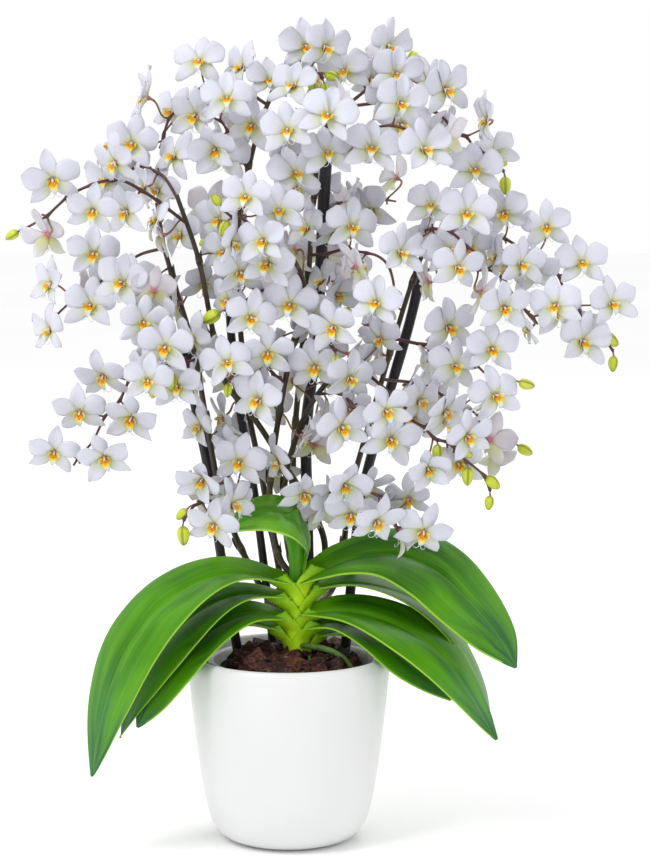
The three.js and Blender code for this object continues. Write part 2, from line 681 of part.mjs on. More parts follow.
addPiece("stem", COLOURS.stem, 0.45, plantStem);
Object.entries(LEAVES).forEach(([name, blade], number) => {
  addPiece(name, blade.young ? COLOURS.youngLeaf : COLOURS.leaf, 0.35, (grow) => leaf(blade, number, grow));
});
const rootCurve = curveThrough(AERIAL_ROOT);
addPiece("aerial_root", COLOURS.root, 0.6, (grow) => tube(rootCurve, ROOT.radius + grow, ROOT));
for (const [name, { radius, route }] of Object.entries(STAKES)) {
  addPiece(name, COLOURS.stake, 0.5, (grow) => tube(curveThrough(route), radius + grow, STAKE));
}
for (const name of Object.keys(SPIKES)) {
  addPiece(name, COLOURS.spike, 0.5, (grow) => tube(spikeCurves[name], SPIKE.radius + grow, SPIKE));
}
for (const name of Object.keys(SPRAYS)) {
  addPiece(name, COLOURS.petal, 0.6, (grow) => sprayBody(name, grow));
}
addPiece("bark_mix", COLOURS.bark, 0.9, barkHeap);

function boxesMeet(a, b) {
  const first = a.boundingBox();
  const second = b.boundingBox();
  return [0, 1, 2].every((k) => first.min[k] <= second.max[k] && second.min[k] <= first.max[k]);
}

const plant = new THREE.Group();
function addMesh(name, colour, roughness, solid) {
  const material = new THREE.MeshStandardMaterial({ color: colour, roughness, metalness: 0 });
  const mesh = new THREE.Mesh(geometryOf(solid), material);
  mesh.name = name;
  plant.add(mesh);
}

pieces.forEach(({ name, colour, roughness, body }, k) => {
  const earlier = pieces.slice(0, k).filter((other) => boxesMeet(other.grown, body));
  const trimmed = earlier.reduce((left, other) => left.subtract(other.grown), body);
  addMesh(name, colour, roughness, mainBody(trimmed));
});
addMesh("nursery_pot", COLOURS.plastic, 0.3, nurseryPot());
addMesh("cover_pot", COLOURS.ceramic, 0.4, coverPot());

export default plant;
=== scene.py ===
import math

import bmesh
import bpy
from mathutils import Matrix, Vector


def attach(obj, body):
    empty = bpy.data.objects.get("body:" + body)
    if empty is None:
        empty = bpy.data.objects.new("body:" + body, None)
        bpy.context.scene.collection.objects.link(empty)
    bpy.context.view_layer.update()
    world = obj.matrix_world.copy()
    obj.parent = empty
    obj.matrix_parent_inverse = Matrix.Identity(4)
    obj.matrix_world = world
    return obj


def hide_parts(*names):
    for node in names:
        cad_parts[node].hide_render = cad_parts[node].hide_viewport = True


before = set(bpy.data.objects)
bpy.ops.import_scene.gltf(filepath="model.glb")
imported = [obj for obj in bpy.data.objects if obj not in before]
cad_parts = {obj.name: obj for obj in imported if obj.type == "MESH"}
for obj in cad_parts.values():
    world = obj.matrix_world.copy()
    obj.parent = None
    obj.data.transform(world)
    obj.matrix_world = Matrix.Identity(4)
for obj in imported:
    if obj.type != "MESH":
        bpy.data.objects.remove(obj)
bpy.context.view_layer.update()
mm = 0.001
print("frame loaded:", len(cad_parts), "solids")

# The plant's layout, the same routes as the solids have
leaves = {
    "leaf_left_top": {"width": 62, "roll": 14, "route": [
        (0, -3, 180), (-40, -16, 188), (-76, -31, 176), (-106, -46, 147), (-123, -58, 106), (-131, -66, 60)]},
    "leaf_left_second": {"width": 54, "roll": 14, "route": [
        (1, -2, 168), (-34, -9, 172), (-64, -17, 160), (-88, -26, 137), (-105, -34, 108), (-114, -40, 80)]},
    "leaf_left_third": {"width": 50, "roll": 14, "route": [
        (1, -3, 155), (-30, -13, 159), (-58, -25, 147), (-79, -36, 128), (-94, -45, 107), (-102, -50, 90)]},
    "leaf_left_low": {"width": 40, "roll": 6, "route": [
        (2, 1, 143), (-27, 6, 149), (-54, 10, 146), (-78, 13, 134), (-94, 15, 110)]},
    "leaf_right_top": {"width": 68, "roll": 27, "route": [
        (9, -2, 182), (40, -8, 196), (70, -14, 201), (98, -20, 192), (121, -26, 173), (143, -32, 148),
        (155, -36, 128)]},
    "leaf_right_second": {"width": 54, "roll": 8, "route": [
        (10, 3, 171), (42, 6, 177), (76, 9, 170), (104, 11, 154), (124, 12, 131), (137, 13, 102),
        (142, 14, 72)]},
    "leaf_right_third": {"width": 60, "roll": 15, "route": [
        (10, -4, 158), (44, -14, 161), (76, -24, 153), (101, -32, 138), (121, -39, 114), (141, -45, 80)]},
    "leaf_right_fourth": {"width": 48, "roll": 12, "route": [
        (9, -3, 148), (34, -8, 152), (60, -14, 144), (84, -20, 126), (111, -26, 103)]},
    "leaf_right_low": {"width": 34, "roll": 4, "route": [
        (9, 3, 137), (32, 9, 142), (56, 15, 142), (76, 20, 134), (86, 23, 120)]},
    "leaf_crown": {"width": 42, "roll": 30, "young": True, "route": [
        (8, 0, 187), (12, -7, 209), (1, -15, 227), (-20, -21, 231), (-47, -23, 219)]},
}
stakes = {
    "stake_left": {"radius": 3.5, "route": [
        (-34, 29, 112), (-47, 26, 190), (-57, 16, 262), (-64, 10, 300), (-71, 6, 348), (-80, 4, 388)]},
    "stake_middle_left": {"radius": 3.0, "route": [
        (-10, 37, 112), (-18, 35, 186), (-26, 27, 250), (-33, 21, 292), (-38, 15, 334), (-41, 12, 378),
        (-41, 10, 420)]},
    "stake_centre": {"radius": 4.2, "route": [
        (14, 33, 112), (13, 30, 208), (12, 22, 280), (17, 12, 328), (22, 5, 392), (24, 3, 440), (28, 1, 494)]},
    "stake_right": {"radius": 3.7, "route": [
        (38, 32, 112), (46, 32, 200), (52, 23, 243), (66, 13, 298), (82, 7, 355), (91, 5, 394)]},
}
spikes = {
    "spike_left": [
        (3, 5, 152), (-14, 30, 160), (-27, 38, 182), (-38, 36, 206), (-48, 18, 240), (-56, 3, 290),
        (-64, -5, 340), (-75, -8, 380), (-84, -8, 412), (-88, -8, 440)],
    "spike_middle_left": [
        (4, 6, 158), (-4, 30, 168), (-9, 40, 190), (-14, 30, 218), (-19, 15, 252), (-27, 8, 294),
        (-31, 2, 335), (-34, -2, 378), (-34, -5, 420), (-26, -1, 465), (-14, 4, 505), (4, 8, 536)],
    "spike_crossing": [
        (9, 6, 165), (22, 30, 180), (24, 26, 206), (9, 10, 240), (-5, 0, 264), (-22, -8, 292),
        (-44, -14, 322), (-52, -18, 362), (-60, -22, 404), (-74, -24, 446)],
    "spike_centre": [
        (7, 6, 172), (5, 36, 188), (4, 38, 215), (3, 27, 262), (5, 10, 292), (9, -2, 335), (14, -8, 392),
        (17, -11, 440), (22, -12, 480), (31, -9, 500), (44, -6, 508)],
    "spike_low_right": [
        (9, 4, 178), (2, 17, 190), (-2, 14, 212), (-3, 4, 245), (6, -14, 283), (20, -24, 312),
        (38, -31, 330), (56, -34, 326)],
    "spike_slender": [
        (3, 2, 182), (-8, 8, 199), (-13, 6, 240), (-8, -10, 285), (1, -25, 335), (9, -29, 368),
        (10, -31, 390), (4, -33, 404)],
    "spike_right": [
        (11, 5, 158), (29, 44, 164), (37, 44, 190), (40, 34, 215), (44, 18, 245), (57, 1, 295),
        (71, -9, 345), (83, -13, 385), (92, -13, 408), (102, -10, 420)],
}
# Each spray: the spike that carries it, its blooms, its buds and its branch's route
sprays = {
    "spray_01": ("middle_left", 5, 0, [
        (-14, 4, 505), (-33, 12, 517), (-57, 18, 517), (-77, 22, 500), (-89, 24, 476)]),
    "spray_02": ("crossing", 4, 0, [(-73, -24, 444), (-86, 2, 460), (-108, 30, 462), (-130, 48, 457)]),
    "spray_03": ("crossing", 5, 1, [
        (-67, -23, 428), (-98, -42, 452), (-125, -52, 456), (-148, -56, 442), (-172, -58, 424)]),
    "spray_04": ("left", 5, 0, [
        (-83, -8, 410), (-103, 8, 404), (-123, 18, 390), (-144, 24, 374), (-166, 26, 358)]),
    "spray_05": ("left", 3, 0, [(-75, -8, 380), (-88, -36, 384), (-104, -54, 372)]),
    "spray_06": ("left", 6, 0, [
        (-67, -6, 352), (-93, -22, 340), (-108, -34, 318), (-124, -42, 294), (-142, -46, 266)]),
    "spray_07": ("crossing", 4, 3, [(-45, -15, 327), (-60, -46, 337), (-74, -64, 338), (-87, -74, 330)]),
    "spray_08": ("middle_left", 5, 2, [
        (-19, 15, 255), (-32, -16, 262), (-45, -38, 254), (-57, -50, 244), (-70, -56, 232)]),
    "spray_09": ("middle_left", 3, 3, [(-3, 7, 526), (6, -8, 528), (14, -16, 528), (24, -20, 524)]),
    "spray_10": ("middle_left", 4, 0, [(-27, -1, 462), (-33, -20, 480), (-41, -36, 492), (-48, -46, 496)]),
    "spray_11": ("centre", 4, 0, [(17, -11, 442), (15, -38, 468), (13, -56, 490), (16, -66, 506)]),
    "spray_12": ("slender", 4, 2, [(5, -33, 403), (-9, -52, 416), (-26, -66, 430), (-42, -76, 438)]),
    "spray_13": ("slender", 3, 1, [(10, -29, 378), (-6, -44, 386), (-24, -52, 380), (-40, -54, 370)]),
    "spray_14": ("slender", 4, 1, [(-1, -22, 320), (-11, -42, 330), (-26, -54, 334), (-38, -60, 328)]),
    "spray_15": ("centre", 4, 1, [(42, -6, 507), (56, 6, 516), (68, 14, 524), (82, 18, 530)]),
    "spray_16": ("centre", 6, 2, [
        (36, -8, 504), (72, -14, 506), (100, -18, 499), (116, -16, 486), (132, -10, 472), (146, -6, 462)]),
    "spray_17": ("centre", 4, 0, [
        (20, -12, 466), (38, -38, 486), (59, -56, 492), (80, -66, 490), (97, -68, 486)]),
    "spray_18": ("centre", 4, 0, [(16, -10, 430), (34, 22, 438), (52, 50, 440), (74, 70, 436)]),
    "spray_19": ("right", 4, 0, [(93, -13, 410), (92, -44, 424), (104, -62, 424), (124, -68, 412)]),
    "spray_20": ("right", 8, 2, [
        (100, -10, 419), (128, -10, 418), (152, -12, 413), (174, -14, 400), (188, -16, 380),
        (202, -18, 359), (220, -20, 342)]),
    "spray_21": ("right", 5, 0, [
        (85, -13, 392), (111, -36, 400), (135, -52, 396), (150, -58, 382), (164, -60, 362)]),
    "spray_22": ("centre", 4, 0, [
        (15, -8, 404), (39, -36, 410), (59, -56, 408), (69, -68, 394), (73, -74, 374)]),
    "spray_23": ("centre", 3, 1, [(10, -2, 342), (22, -38, 350), (32, -58, 346)]),
    "spray_24": ("right", 4, 1, [
        (72, -9, 348), (104, -30, 344), (121, -44, 336), (134, -52, 328), (149, -54, 323)]),
    "spray_25": ("right", 5, 1, [
        (64, -4, 320), (92, 18, 314), (116, 34, 300), (138, 44, 286), (156, 48, 268)]),
    "spray_26": ("low_right", 5, 5, [
        (54, -34, 327), (72, -46, 312), (86, -54, 296), (104, -58, 284), (122, -58, 270), (136, -54, 252)]),
    "spray_27": ("low_right", 3, 0, [(20, -23, 312), (34, -50, 316), (46, -66, 308), (58, -76, 296)]),
    "spray_28": ("crossing", 4, 0, [
        (13, 13, 230), (22, -12, 240), (36, -34, 250), (52, -48, 250), (66, -54, 248)]),
    "spray_29": ("right", 3, 0, [(42, 24, 236), (58, -8, 244), (68, -28, 234), (74, -42, 216)]),
    "spray_30": ("middle_left", 4, 1, [(-34, -5, 415), (-30, 30, 428), (-36, 60, 426), (-52, 80, 412)]),
    "spray_31": ("centre", 4, 1, [(13, -6, 380), (10, 30, 386), (22, 62, 382), (42, 82, 366)]),
}
aerialRoot = [(8, -6, 136), (18, -20, 138), (30, -26, 136), (39, -26, 130), (43, -25, 124)]


# Small helpers
upward = Vector((0, 0, 1))


def clamp(share):
    return min(1.0, max(0.0, share))


def smoothStep(share):
    return share * share * (3 - 2 * share)


def draw(a, b):
    # the same number from 0 to 1 each time for a pair of whole numbers
    wave = math.sin(a * 127.1 + b * 311.7) * 43758.5453
    return wave - math.floor(wave)


def vary(a, b, least, most):
    return least + (most - least) * draw(a, b)


def asRoute(points):
    return [Vector(p) for p in points]


def routePoint(route, t):
    # a point of the smooth curve through the route's points, t from 0 to 1
    last = len(route) - 1
    k = min(int(t * last), last - 1)
    w = t * last - k
    b, c = route[k], route[k + 1]
    a = route[k - 1] if k else 2 * b - c
    d = route[k + 2] if k + 2 <= last else 2 * c - b
    lean, bend = 0.5 * (c - a), 0.5 * (d - b)
    return b + lean * w + (3 * (c - b) - 2 * lean - bend) * w ** 2 + (2 * (b - c) + lean + bend) * w ** 3


def routeTangent(route, t):
    return (routePoint(route, min(t + 1e-4, 1)) - routePoint(route, max(t - 1e-4, 0))).normalized()


def evenPoints(route, steps):
    # points at equal distances along the curve
    fine = [routePoint(route, i / 200) for i in range(201)]
    run = [0.0]
    for a, b in zip(fine, fine[1:]):
        run.append(run[-1] + (b - a).length)
    stops, i = [], 0
    for s in range(steps + 1):
        goal = run[-1] * s / steps
        while i < 199 and run[i + 1] < goal:
            i += 1
        stops.append(routePoint(route, (i + (goal - run[i]) / (run[i + 1] - run[i])) / 200))
    return stops


def routeLength(route, steps=60):
    points = evenPoints(route, steps)
    return sum((b - a).length for a, b in zip(points, points[1:]))


def turnedTo(heading):
    # the matrix that turns +Z to the heading
    return upward.rotation_difference(heading).to_matrix().to_4x4()


def pieceName(start, words):
    return start + "".join(word.title() for word in words)


def newForm():
    # an empty form with two numbers on each vertex: how far along its part it lies, and how far across
    bm = bmesh.new()
    bm.verts.layers.float.new("along")
    bm.verts.layers.float.new("across")
    return bm


def fieldsOf(bm):
    return bm.verts.layers.float["along"], bm.verts.layers.float["across"]


def newFaces(bm, firstFace, material):
    bm.faces.ensure_lookup_table()
    faces = bm.faces[firstFace:]
    for face in faces:
        face.material_index = material
    return faces


def sweep(bm, points, radii, sides, material=0, marks=None):
    # a tube of rings along the points, closed at both ends
    firstFace, along = len(bm.faces), fieldsOf(bm)[0]
    last = len(points) - 1
    marks = marks or [k / last for k in range(last + 1)]
    heading = (points[1] - points[0]).normalized()
    turn = upward.rotation_difference(heading)
    stand = Matrix.Translation(points[0]) @ turn.to_matrix().to_4x4() @ Matrix.Scale(radii[0], 4)
    ring = bmesh.ops.create_circle(bm, cap_ends=True, segments=sides, radius=1, matrix=stand)["verts"]
    for vert in ring:
        vert[along] = marks[0]
    edges = list(dict.fromkeys(edge for vert in ring for edge in vert.link_edges))
    for k in range(1, last + 1):
        onward = (points[min(k + 1, last)] - points[k - 1]).normalized()
        turn = heading.rotation_difference(onward) @ turn
        heading = onward
        later = Matrix.Translation(points[k]) @ turn.to_matrix().to_4x4() @ Matrix.Scale(radii[k], 4)
        made = bmesh.ops.extrude_edge_only(bm, edges=edges)["geom"]
        ring = [item for item in made if isinstance(item, bmesh.types.BMVert)]
        edges = [item for item in made if isinstance(item, bmesh.types.BMEdge)]
        bmesh.ops.transform(bm, matrix=later @ stand.inverted(), verts=ring)
        for vert in ring:
            vert[along] = marks[k]
        stand = later
    bmesh.ops.holes_fill(bm, edges=edges, sides=sides)
    bmesh.ops.recalc_face_normals(bm, faces=newFaces(bm, firstFace, material))


def turnOutward(bm, faces):
    # a closed thin shell faces outward where the volume inside it counts as positive
    bmesh.ops.recalc_face_normals(bm, faces=faces)
    volume = 0
    for face in faces:
        corners = [vert.co for vert in face.verts]
        volume += sum(corners[0].dot(b.cross(c)) for b, c in zip(corners[1:], corners[2:]))
    if volume < 0:
        bmesh.ops.reverse_faces(bm, faces=faces)


def sheet(bm, rows, columns, thickness, material, shape):
    # a grid that shape() bends, given a thickness; shape takes how far along 0..1 and how far across -1..1
    firstFace = len(bm.faces)
    along, across = fieldsOf(bm)
    made = bmesh.ops.create_grid(bm, x_segments=rows, y_segments=columns, size=1)
    for vert in made["verts"]:
        t, v = (vert.co.x + 1) / 2, vert.co.y
        vert[along], vert[across] = t, v
        vert.co = shape(t, v)
    bm.faces.ensure_lookup_table()
    bmesh.ops.solidify(bm, geom=bm.faces[firstFace:], thickness=thickness)
    faces = newFaces(bm, firstFace, material)
    turnOutward(bm, faces)
    return faces


def ball(bm, place, size, material, segments=8, rings=6, mark=0.5):
    firstFace, along = len(bm.faces), fieldsOf(bm)[0]
    stand = Matrix.Translation(place) @ Matrix.Diagonal((*size, 1))
    made = bmesh.ops.create_uvsphere(bm, u_segments=segments, v_segments=rings, radius=1, matrix=stand)
    for vert in made["verts"]:
        vert[along] = mark
    newFaces(bm, firstFace, material)


def lathe(bm, outline, sides, material=0, centre=(0, 0, 0)):
    # a turned form from an outline of (radius, height), open ends on the axis closed by the merge
    verts = [bm.verts.new((r, 0, z)) for r, z in outline]
    edges = [bm.edges.new(pair) for pair in zip(verts, verts[1:])]
    bmesh.ops.spin(bm, geom=verts + edges, cent=(0, 0, 0), axis=(0, 0, 1), dvec=(0, 0, 0),
                   angle=2 * math.pi, steps=sides, use_merge=True, use_duplicate=False)
    bmesh.ops.remove_doubles(bm, verts=bm.verts, dist=1e-4)
    bmesh.ops.recalc_face_normals(bm, faces=bm.faces)
    bmesh.ops.translate(bm, vec=centre, verts=bm.verts)
    newFaces(bm, 0, material)


def placeShape(bm, shape, stand):
    # adds a copy of a finished shape at its place
    first = len(bm.verts)
    bm.from_mesh(shape)
    bm.verts.ensure_lookup_table()
    bmesh.ops.transform(bm, matrix=stand, verts=bm.verts[first:])


def shapeMesh(bm, name):
    mesh = bpy.data.meshes.new(name)
    bm.to_mesh(mesh)
    bm.free()
    return mesh


def finishPiece(bm, name, finishes, node, isSmooth=True):
    bmesh.ops.scale(bm, vec=(mm, mm, mm), verts=bm.verts)
    for face in bm.faces:
        face.smooth = isSmooth
    mesh = shapeMesh(bm, name)
    for finish in finishes:
        mesh.materials.append(finish)
    piece = bpy.data.objects.new(name, mesh)
    bpy.context.scene.collection.objects.link(piece)
    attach(piece, "root")
    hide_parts(node)


# Materials
class Finish:
    # a Principled material with short calls for the nodes that feed it
    def __init__(self, name, **constants):
        self.material = bpy.data.materials.new(name)
        self.material.use_nodes = True
        self.nodes = self.material.node_tree.nodes
        self.links = self.material.node_tree.links
        self.shader = self.nodes["Principled BSDF"]
        for socket, value in constants.items():
            self.shader.inputs[socket.replace("_", " ")].default_value = value
        self.places = None

    def feed(self, socket, value):
        # the value is a number, a colour or another node's output
        if isinstance(value, (int, float)):
            socket.default_value = value
        elif isinstance(value, tuple):
            socket.default_value = (*value, 1)
        else:
            self.links.new(value, socket)

    def node(self, kind, *values, **settings):
        node = self.nodes.new("ShaderNode" + kind)
        for key, value in settings.items():
            setattr(node, key, value)
        for socket, value in zip(node.inputs, values):
            self.feed(socket, value)
        return node

    def field(self, name="along"):
        return self.node("Attribute", attribute_name=name).outputs["Fac"]

    def math(self, operation, *values):
        return self.node("Math", *values, operation=operation).outputs[0]

    def times(self, a, b):
        return self.math("MULTIPLY", a, b)

    def noise(self, scale, detail=3, stretch=None, on=None):
        # noise over the object's own places, or on another vector
        if on is None and self.places is None:
            self.places = self.node("TexCoord").outputs["Object"]
        vector = on or self.places
        if stretch:
            mapping = self.node("Mapping", vector)
            mapping.inputs["Scale"].default_value = stretch
            vector = mapping.outputs["Vector"]
        noise = self.node("TexNoise", vector)
        noise.inputs["Scale"].default_value = scale
        noise.inputs["Detail"].default_value = detail
        return noise.outputs["Fac"]

    def streaks(self, along, across, lengthwise, crosswise, scale, detail):
        # noise that is drawn out along a petal or a leaf
        vector = self.node("CombineXYZ", self.times(along, lengthwise), self.times(across, crosswise), 0)
        return self.noise(scale, detail, on=vector.outputs[0])

    def ramp(self, fac, *stops):
        # the first and the last stop are given first, then those between
        node = self.node("ValToRGB", fac)
        elements = node.color_ramp.elements
        for k, (place, colour) in enumerate(stops):
            stop = elements[k] if k < 2 else elements.new(place)
            stop.position = place
            stop.color = (*colour, 1)
        return node.outputs["Color"]

    def grow(self, fac, start, end, most=1):
        return self.ramp(fac, (start, (0, 0, 0)), (end, (most, most, most)))

    def fade(self, fac, start, end, most=1):
        return self.ramp(fac, (start, (most, most, most)), (end, (0, 0, 0)))

    def over(self, ground, *layers):
        # each layer is a share from 0 to 1 and the colour that it lays over the ground
        for share, colour in layers:
            node = self.node("Mix", share, data_type="RGBA")
            self.feed(node.inputs[6], ground)
            self.feed(node.inputs[7], colour)
            ground = node.outputs[2]
        return ground

    def done(self, colour, rough=None, bump=None):
        # rough is a noise with the lowest and highest roughness, bump a noise with distance and strength
        inputs = self.shader.inputs
        self.links.new(colour, inputs["Base Color"])
        if rough:
            fac, low, high = rough
            self.links.new(self.ramp(fac, (0.3, (low,) * 3), (0.7, (high,) * 3)), inputs["Roughness"])
        if bump:
            node = self.node("Bump")
            for name, value in zip(("Height", "Distance", "Strength"), bump):
                self.feed(node.inputs[name], value)
            self.links.new(node.outputs["Normal"], inputs["Normal"])
        return self.material


def petalFinish(name, body, shade, base, baseEnd, blush):
    # white petal: fine veins along it, cool mottling, and a tinted base
    finish = Finish(name, Subsurface_Weight=0.2, Subsurface_Scale=0.002, Subsurface_Radius=(1, 1, 1),
                    Specular_IOR_Level=0.25)
    along, across = finish.field(), finish.field("across")
    veins = finish.streaks(along, across, 1.2, 9, 2.2, 2)
    mottle = finish.noise(140, 2)
    ground = finish.over(body, (finish.times(veins, 0.7), shade), (finish.times(mottle, 0.35), shade),
                         (finish.fade(along, 0, baseEnd), base), (finish.fade(along, 0, 0.16), blush))
    return finish.done(ground, (mottle, 0.5, 0.62), (veins, 0.0004, 0.35))


def lipFinish():
    # orange throat with darker spots, then yellow, and a white end
    finish = Finish("lipYellowToWhite", Subsurface_Weight=0.2, Subsurface_Scale=0.0015)
    along, across = finish.field(), finish.field("across")
    stripes = finish.streaks(along, across, 1, 6, 3.0, 2)
    ground = finish.ramp(along, (0.0, (0.80, 0.24, 0.01)), (1.0, (0.70, 0.73, 0.80)),
                         (0.3, (0.88, 0.50, 0.008)), (0.52, (0.86, 0.66, 0.02)), (0.66, (0.76, 0.74, 0.40)),
                         (0.76, (0.72, 0.74, 0.74)))
    spots = finish.times(finish.grow(stripes, 0.45, 0.6), finish.fade(along, 0.2, 0.66, 0.9))
    ground = finish.over(ground, (spots, (0.72, 0.20, 0.01)))
    return finish.done(ground, (stripes, 0.35, 0.5), (stripes, 0.0003, 0.4))


def lobeFinish():
    finish = Finish("lipLobeYellow", Subsurface_Weight=0.2, Subsurface_Scale=0.0015)
    along = finish.field()
    mottle = finish.noise(500, 3)
    ground = finish.ramp(along, (0.0, (0.80, 0.40, 0.01)), (1.0, (0.76, 0.72, 0.76)),
                         (0.36, (0.88, 0.60, 0.015)), (0.6, (0.84, 0.74, 0.22)), (0.78, (0.76, 0.74, 0.66)))
    spots = finish.times(finish.grow(mottle, 0.45, 0.62, 0.5), finish.fade(along, 0.4, 0.75))
    return finish.done(finish.over(ground, (spots, (0.72, 0.33, 0.02))), (mottle, 0.35, 0.5))


def columnFinish():
    finish = Finish("columnWhitePink", Subsurface_Weight=0.2, Subsurface_Scale=0.0015)
    mottle = finish.noise(600, 2)
    ground = finish.ramp(finish.field(), (0.0, (0.56, 0.34, 0.38)), (0.8, (0.66, 0.66, 0.68)))
    ground = finish.over(ground, (finish.times(mottle, 0.3), (0.8, 0.75, 0.6)))
    return finish.done(ground, (mottle, 0.3, 0.5))


def grainFinish(name, grain, stops, rough, bump, **constants):
    # one noise that leads colour, roughness and bump
    finish = Finish(name, **constants)
    noise = finish.noise(*grain)
    return finish.done(finish.ramp(noise, *stops), (noise, *rough), (noise, *bump))


def stalkFinish(name, low, middle, high, grainScale):
    # stalks: one colour at the foot, another at the tip, streaked along
    finish = Finish(name)
    grain = finish.noise(grainScale, 4, (1, 1, 0.25))
    ground = finish.ramp(finish.field(), (0.0, low), (1.0, high), (0.5, middle))
    ground = finish.over(ground, (finish.grow(grain, 0.4, 0.75, 0.7), tuple(0.45 * c for c in low)))
    return finish.done(ground, (grain, 0.35, 0.55), (grain, 0.0004, 0.5))


def budFinish():
    # lime bud: three olive seams, darker at its foot and tip
    finish = Finish("budLimeGreen", Specular_IOR_Level=0.4)
    along, across = finish.field(), finish.field("across")
    mottle = finish.noise(220, 3)
    ground = finish.ramp(along, (0.0, (0.30, 0.36, 0.02)), (1.0, (0.20, 0.21, 0.01)),
                         (0.22, (0.55, 0.64, 0.03)), (0.8, (0.46, 0.54, 0.03)))
    seams = finish.grow(finish.math("ADD", across, finish.times(mottle, 0.3)), 0.82, 1.0, 0.75)
    ground = finish.over(ground, (finish.grow(mottle, 0.45, 0.8, 0.6), (0.70, 0.72, 0.22)),
                         (seams, (0.20, 0.22, 0.01)))
    return finish.done(ground, (mottle, 0.28, 0.45), (mottle, 0.0003, 0.3))


def leafFinish(name, base, middle, outerSheen, paintedShade, edge, ribAndSheen):
    # satin strap leaf: yellow-green foot, bright middle, a blue-green end that is a painted sheen, deep
    # patches of painted shade, long bands of painted sheen and painted shade, a light midrib line and a light
    # edge line
    finish = Finish(name, Specular_IOR_Level=0.13)
    along, across = finish.field(), finish.field("across")
    veins = finish.streaks(along, across, 1.1, 9, 2.0, 3)
    patches = finish.noise(13, 2)
    place = finish.math("ADD", along, finish.times(finish.math("SUBTRACT", patches, 0.5), 0.5))
    lean = finish.math("ADD", finish.times(across, 1.3), finish.times(patches, 1.6))
    # long bands along the leaf: their high parts get a painted sheen, their low parts a painted shade
    sheenBands = finish.streaks(along, lean, 1.4, 1, 1.5, 2)
    away = finish.math("ABSOLUTE", across)
    # the colour runs from the foot to a blue-green end, which is a painted sheen
    ground = finish.ramp(place, (0.0, base), (0.9, outerSheen), (0.16, middle), (0.5, middle))
    # deep green patches and the low parts of the bands are painted shade; the rib colour gives the midrib line
    # and also the painted sheen of the bands
    ground = finish.over(
        ground, (finish.grow(patches, 0.42, 0.68, 0.85), paintedShade), (finish.grow(sheenBands, 0.46, 0.66, 0.55), ribAndSheen),
        (finish.fade(sheenBands, 0.3, 0.45, 0.5), paintedShade), (finish.grow(veins, 0.42, 0.75, 0.13), edge),
        (finish.fade(away, 0, 0.05, 0.5), ribAndSheen), (finish.grow(away, 0.975, 1.0, 0.8), edge))
    return finish.done(ground, (patches, 0.3, 0.42), (veins, 0.0005, 0.18))


def stemFinish():
    finish = Finish("stemYellowGreen", Specular_IOR_Level=0.22)
    mottle = finish.noise(120, 4)
    ground = finish.ramp(mottle, (0.3, (0.33, 0.62, 0.004)), (0.7, (0.54, 0.84, 0.012)))
    ground = finish.over(ground, (finish.grow(finish.field(), 0.3, 1.0, 0.9), (0.16, 0.42, 0.01)))
    return finish.done(ground, (mottle, 0.35, 0.55), (mottle, 0.0008, 0.4))


def spikeFinish():
    # olive-brown spike with paler rings at its nodes
    finish = Finish("spikeOliveBrown")
    grain = finish.noise(260, 4, (1, 1, 0.2))
    patches = finish.noise(30, 2)
    rings = finish.fade(finish.math("FRACT", finish.field()), 0, 0.06, 0.7)
    ground = finish.over((0.030, 0.022, 0.010), (finish.grow(patches, 0.4, 0.65), (0.075, 0.058, 0.020)),
                         (finish.grow(grain, 0.5, 0.8, 0.6), (0.016, 0.009, 0.010)),
                         (rings, (0.16, 0.13, 0.05)))
    return finish.done(ground, (grain, 0.38, 0.6), (grain, 0.0005, 0.5))


def barkFinish():
    # red-brown chips, streaked dark and pale along the grain
    finish = Finish("barkRedBrown", Specular_IOR_Level=0.35)
    grain = finish.noise(420, 4, (1, 0.25, 1.4))
    fibres = finish.noise(900, 3, (0.2, 1, 1))
    ground = finish.ramp(finish.noise(75, 2), (0.32, (0.018, 0.005, 0.005)), (0.7, (0.150, 0.042, 0.024)),
                         (0.5, (0.058, 0.014, 0.009)))
    ground = finish.over(ground, (finish.grow(grain, 0.45, 0.62, 0.85), (0.012, 0.004, 0.004)),
                         (finish.grow(fibres, 0.6, 0.72, 0.6), (0.34, 0.23, 0.20)))
    return finish.done(ground, (grain, 0.55, 0.85), (grain, 0.0015, 0.8))


def ceramicFinish():
    # white glaze, a little cloudy, with faint specks
    finish = Finish("whiteGlazedCeramic", Coat_Weight=0.35, Coat_Roughness=0.18, Specular_IOR_Level=0.45)
    cloud = finish.noise(9, 2)
    ground = finish.ramp(cloud, (0.3, (0.75, 0.75, 0.755)), (0.7, (0.79, 0.79, 0.795)))
    ground = finish.over(ground, (finish.grow(finish.noise(700, 3), 0.66, 0.8, 0.25), (0.72, 0.71, 0.69)))
    return finish.done(ground, (cloud, 0.34, 0.42), (cloud, 0.0015, 0.25))


def floorFinish():
    finish = Finish("paleFloor", Roughness=0.9, Specular_IOR_Level=0.1)
    return finish.done(finish.ramp(finish.noise(2, 2), (0.3, (0.96,) * 3), (0.7, (0.98,) * 3)))


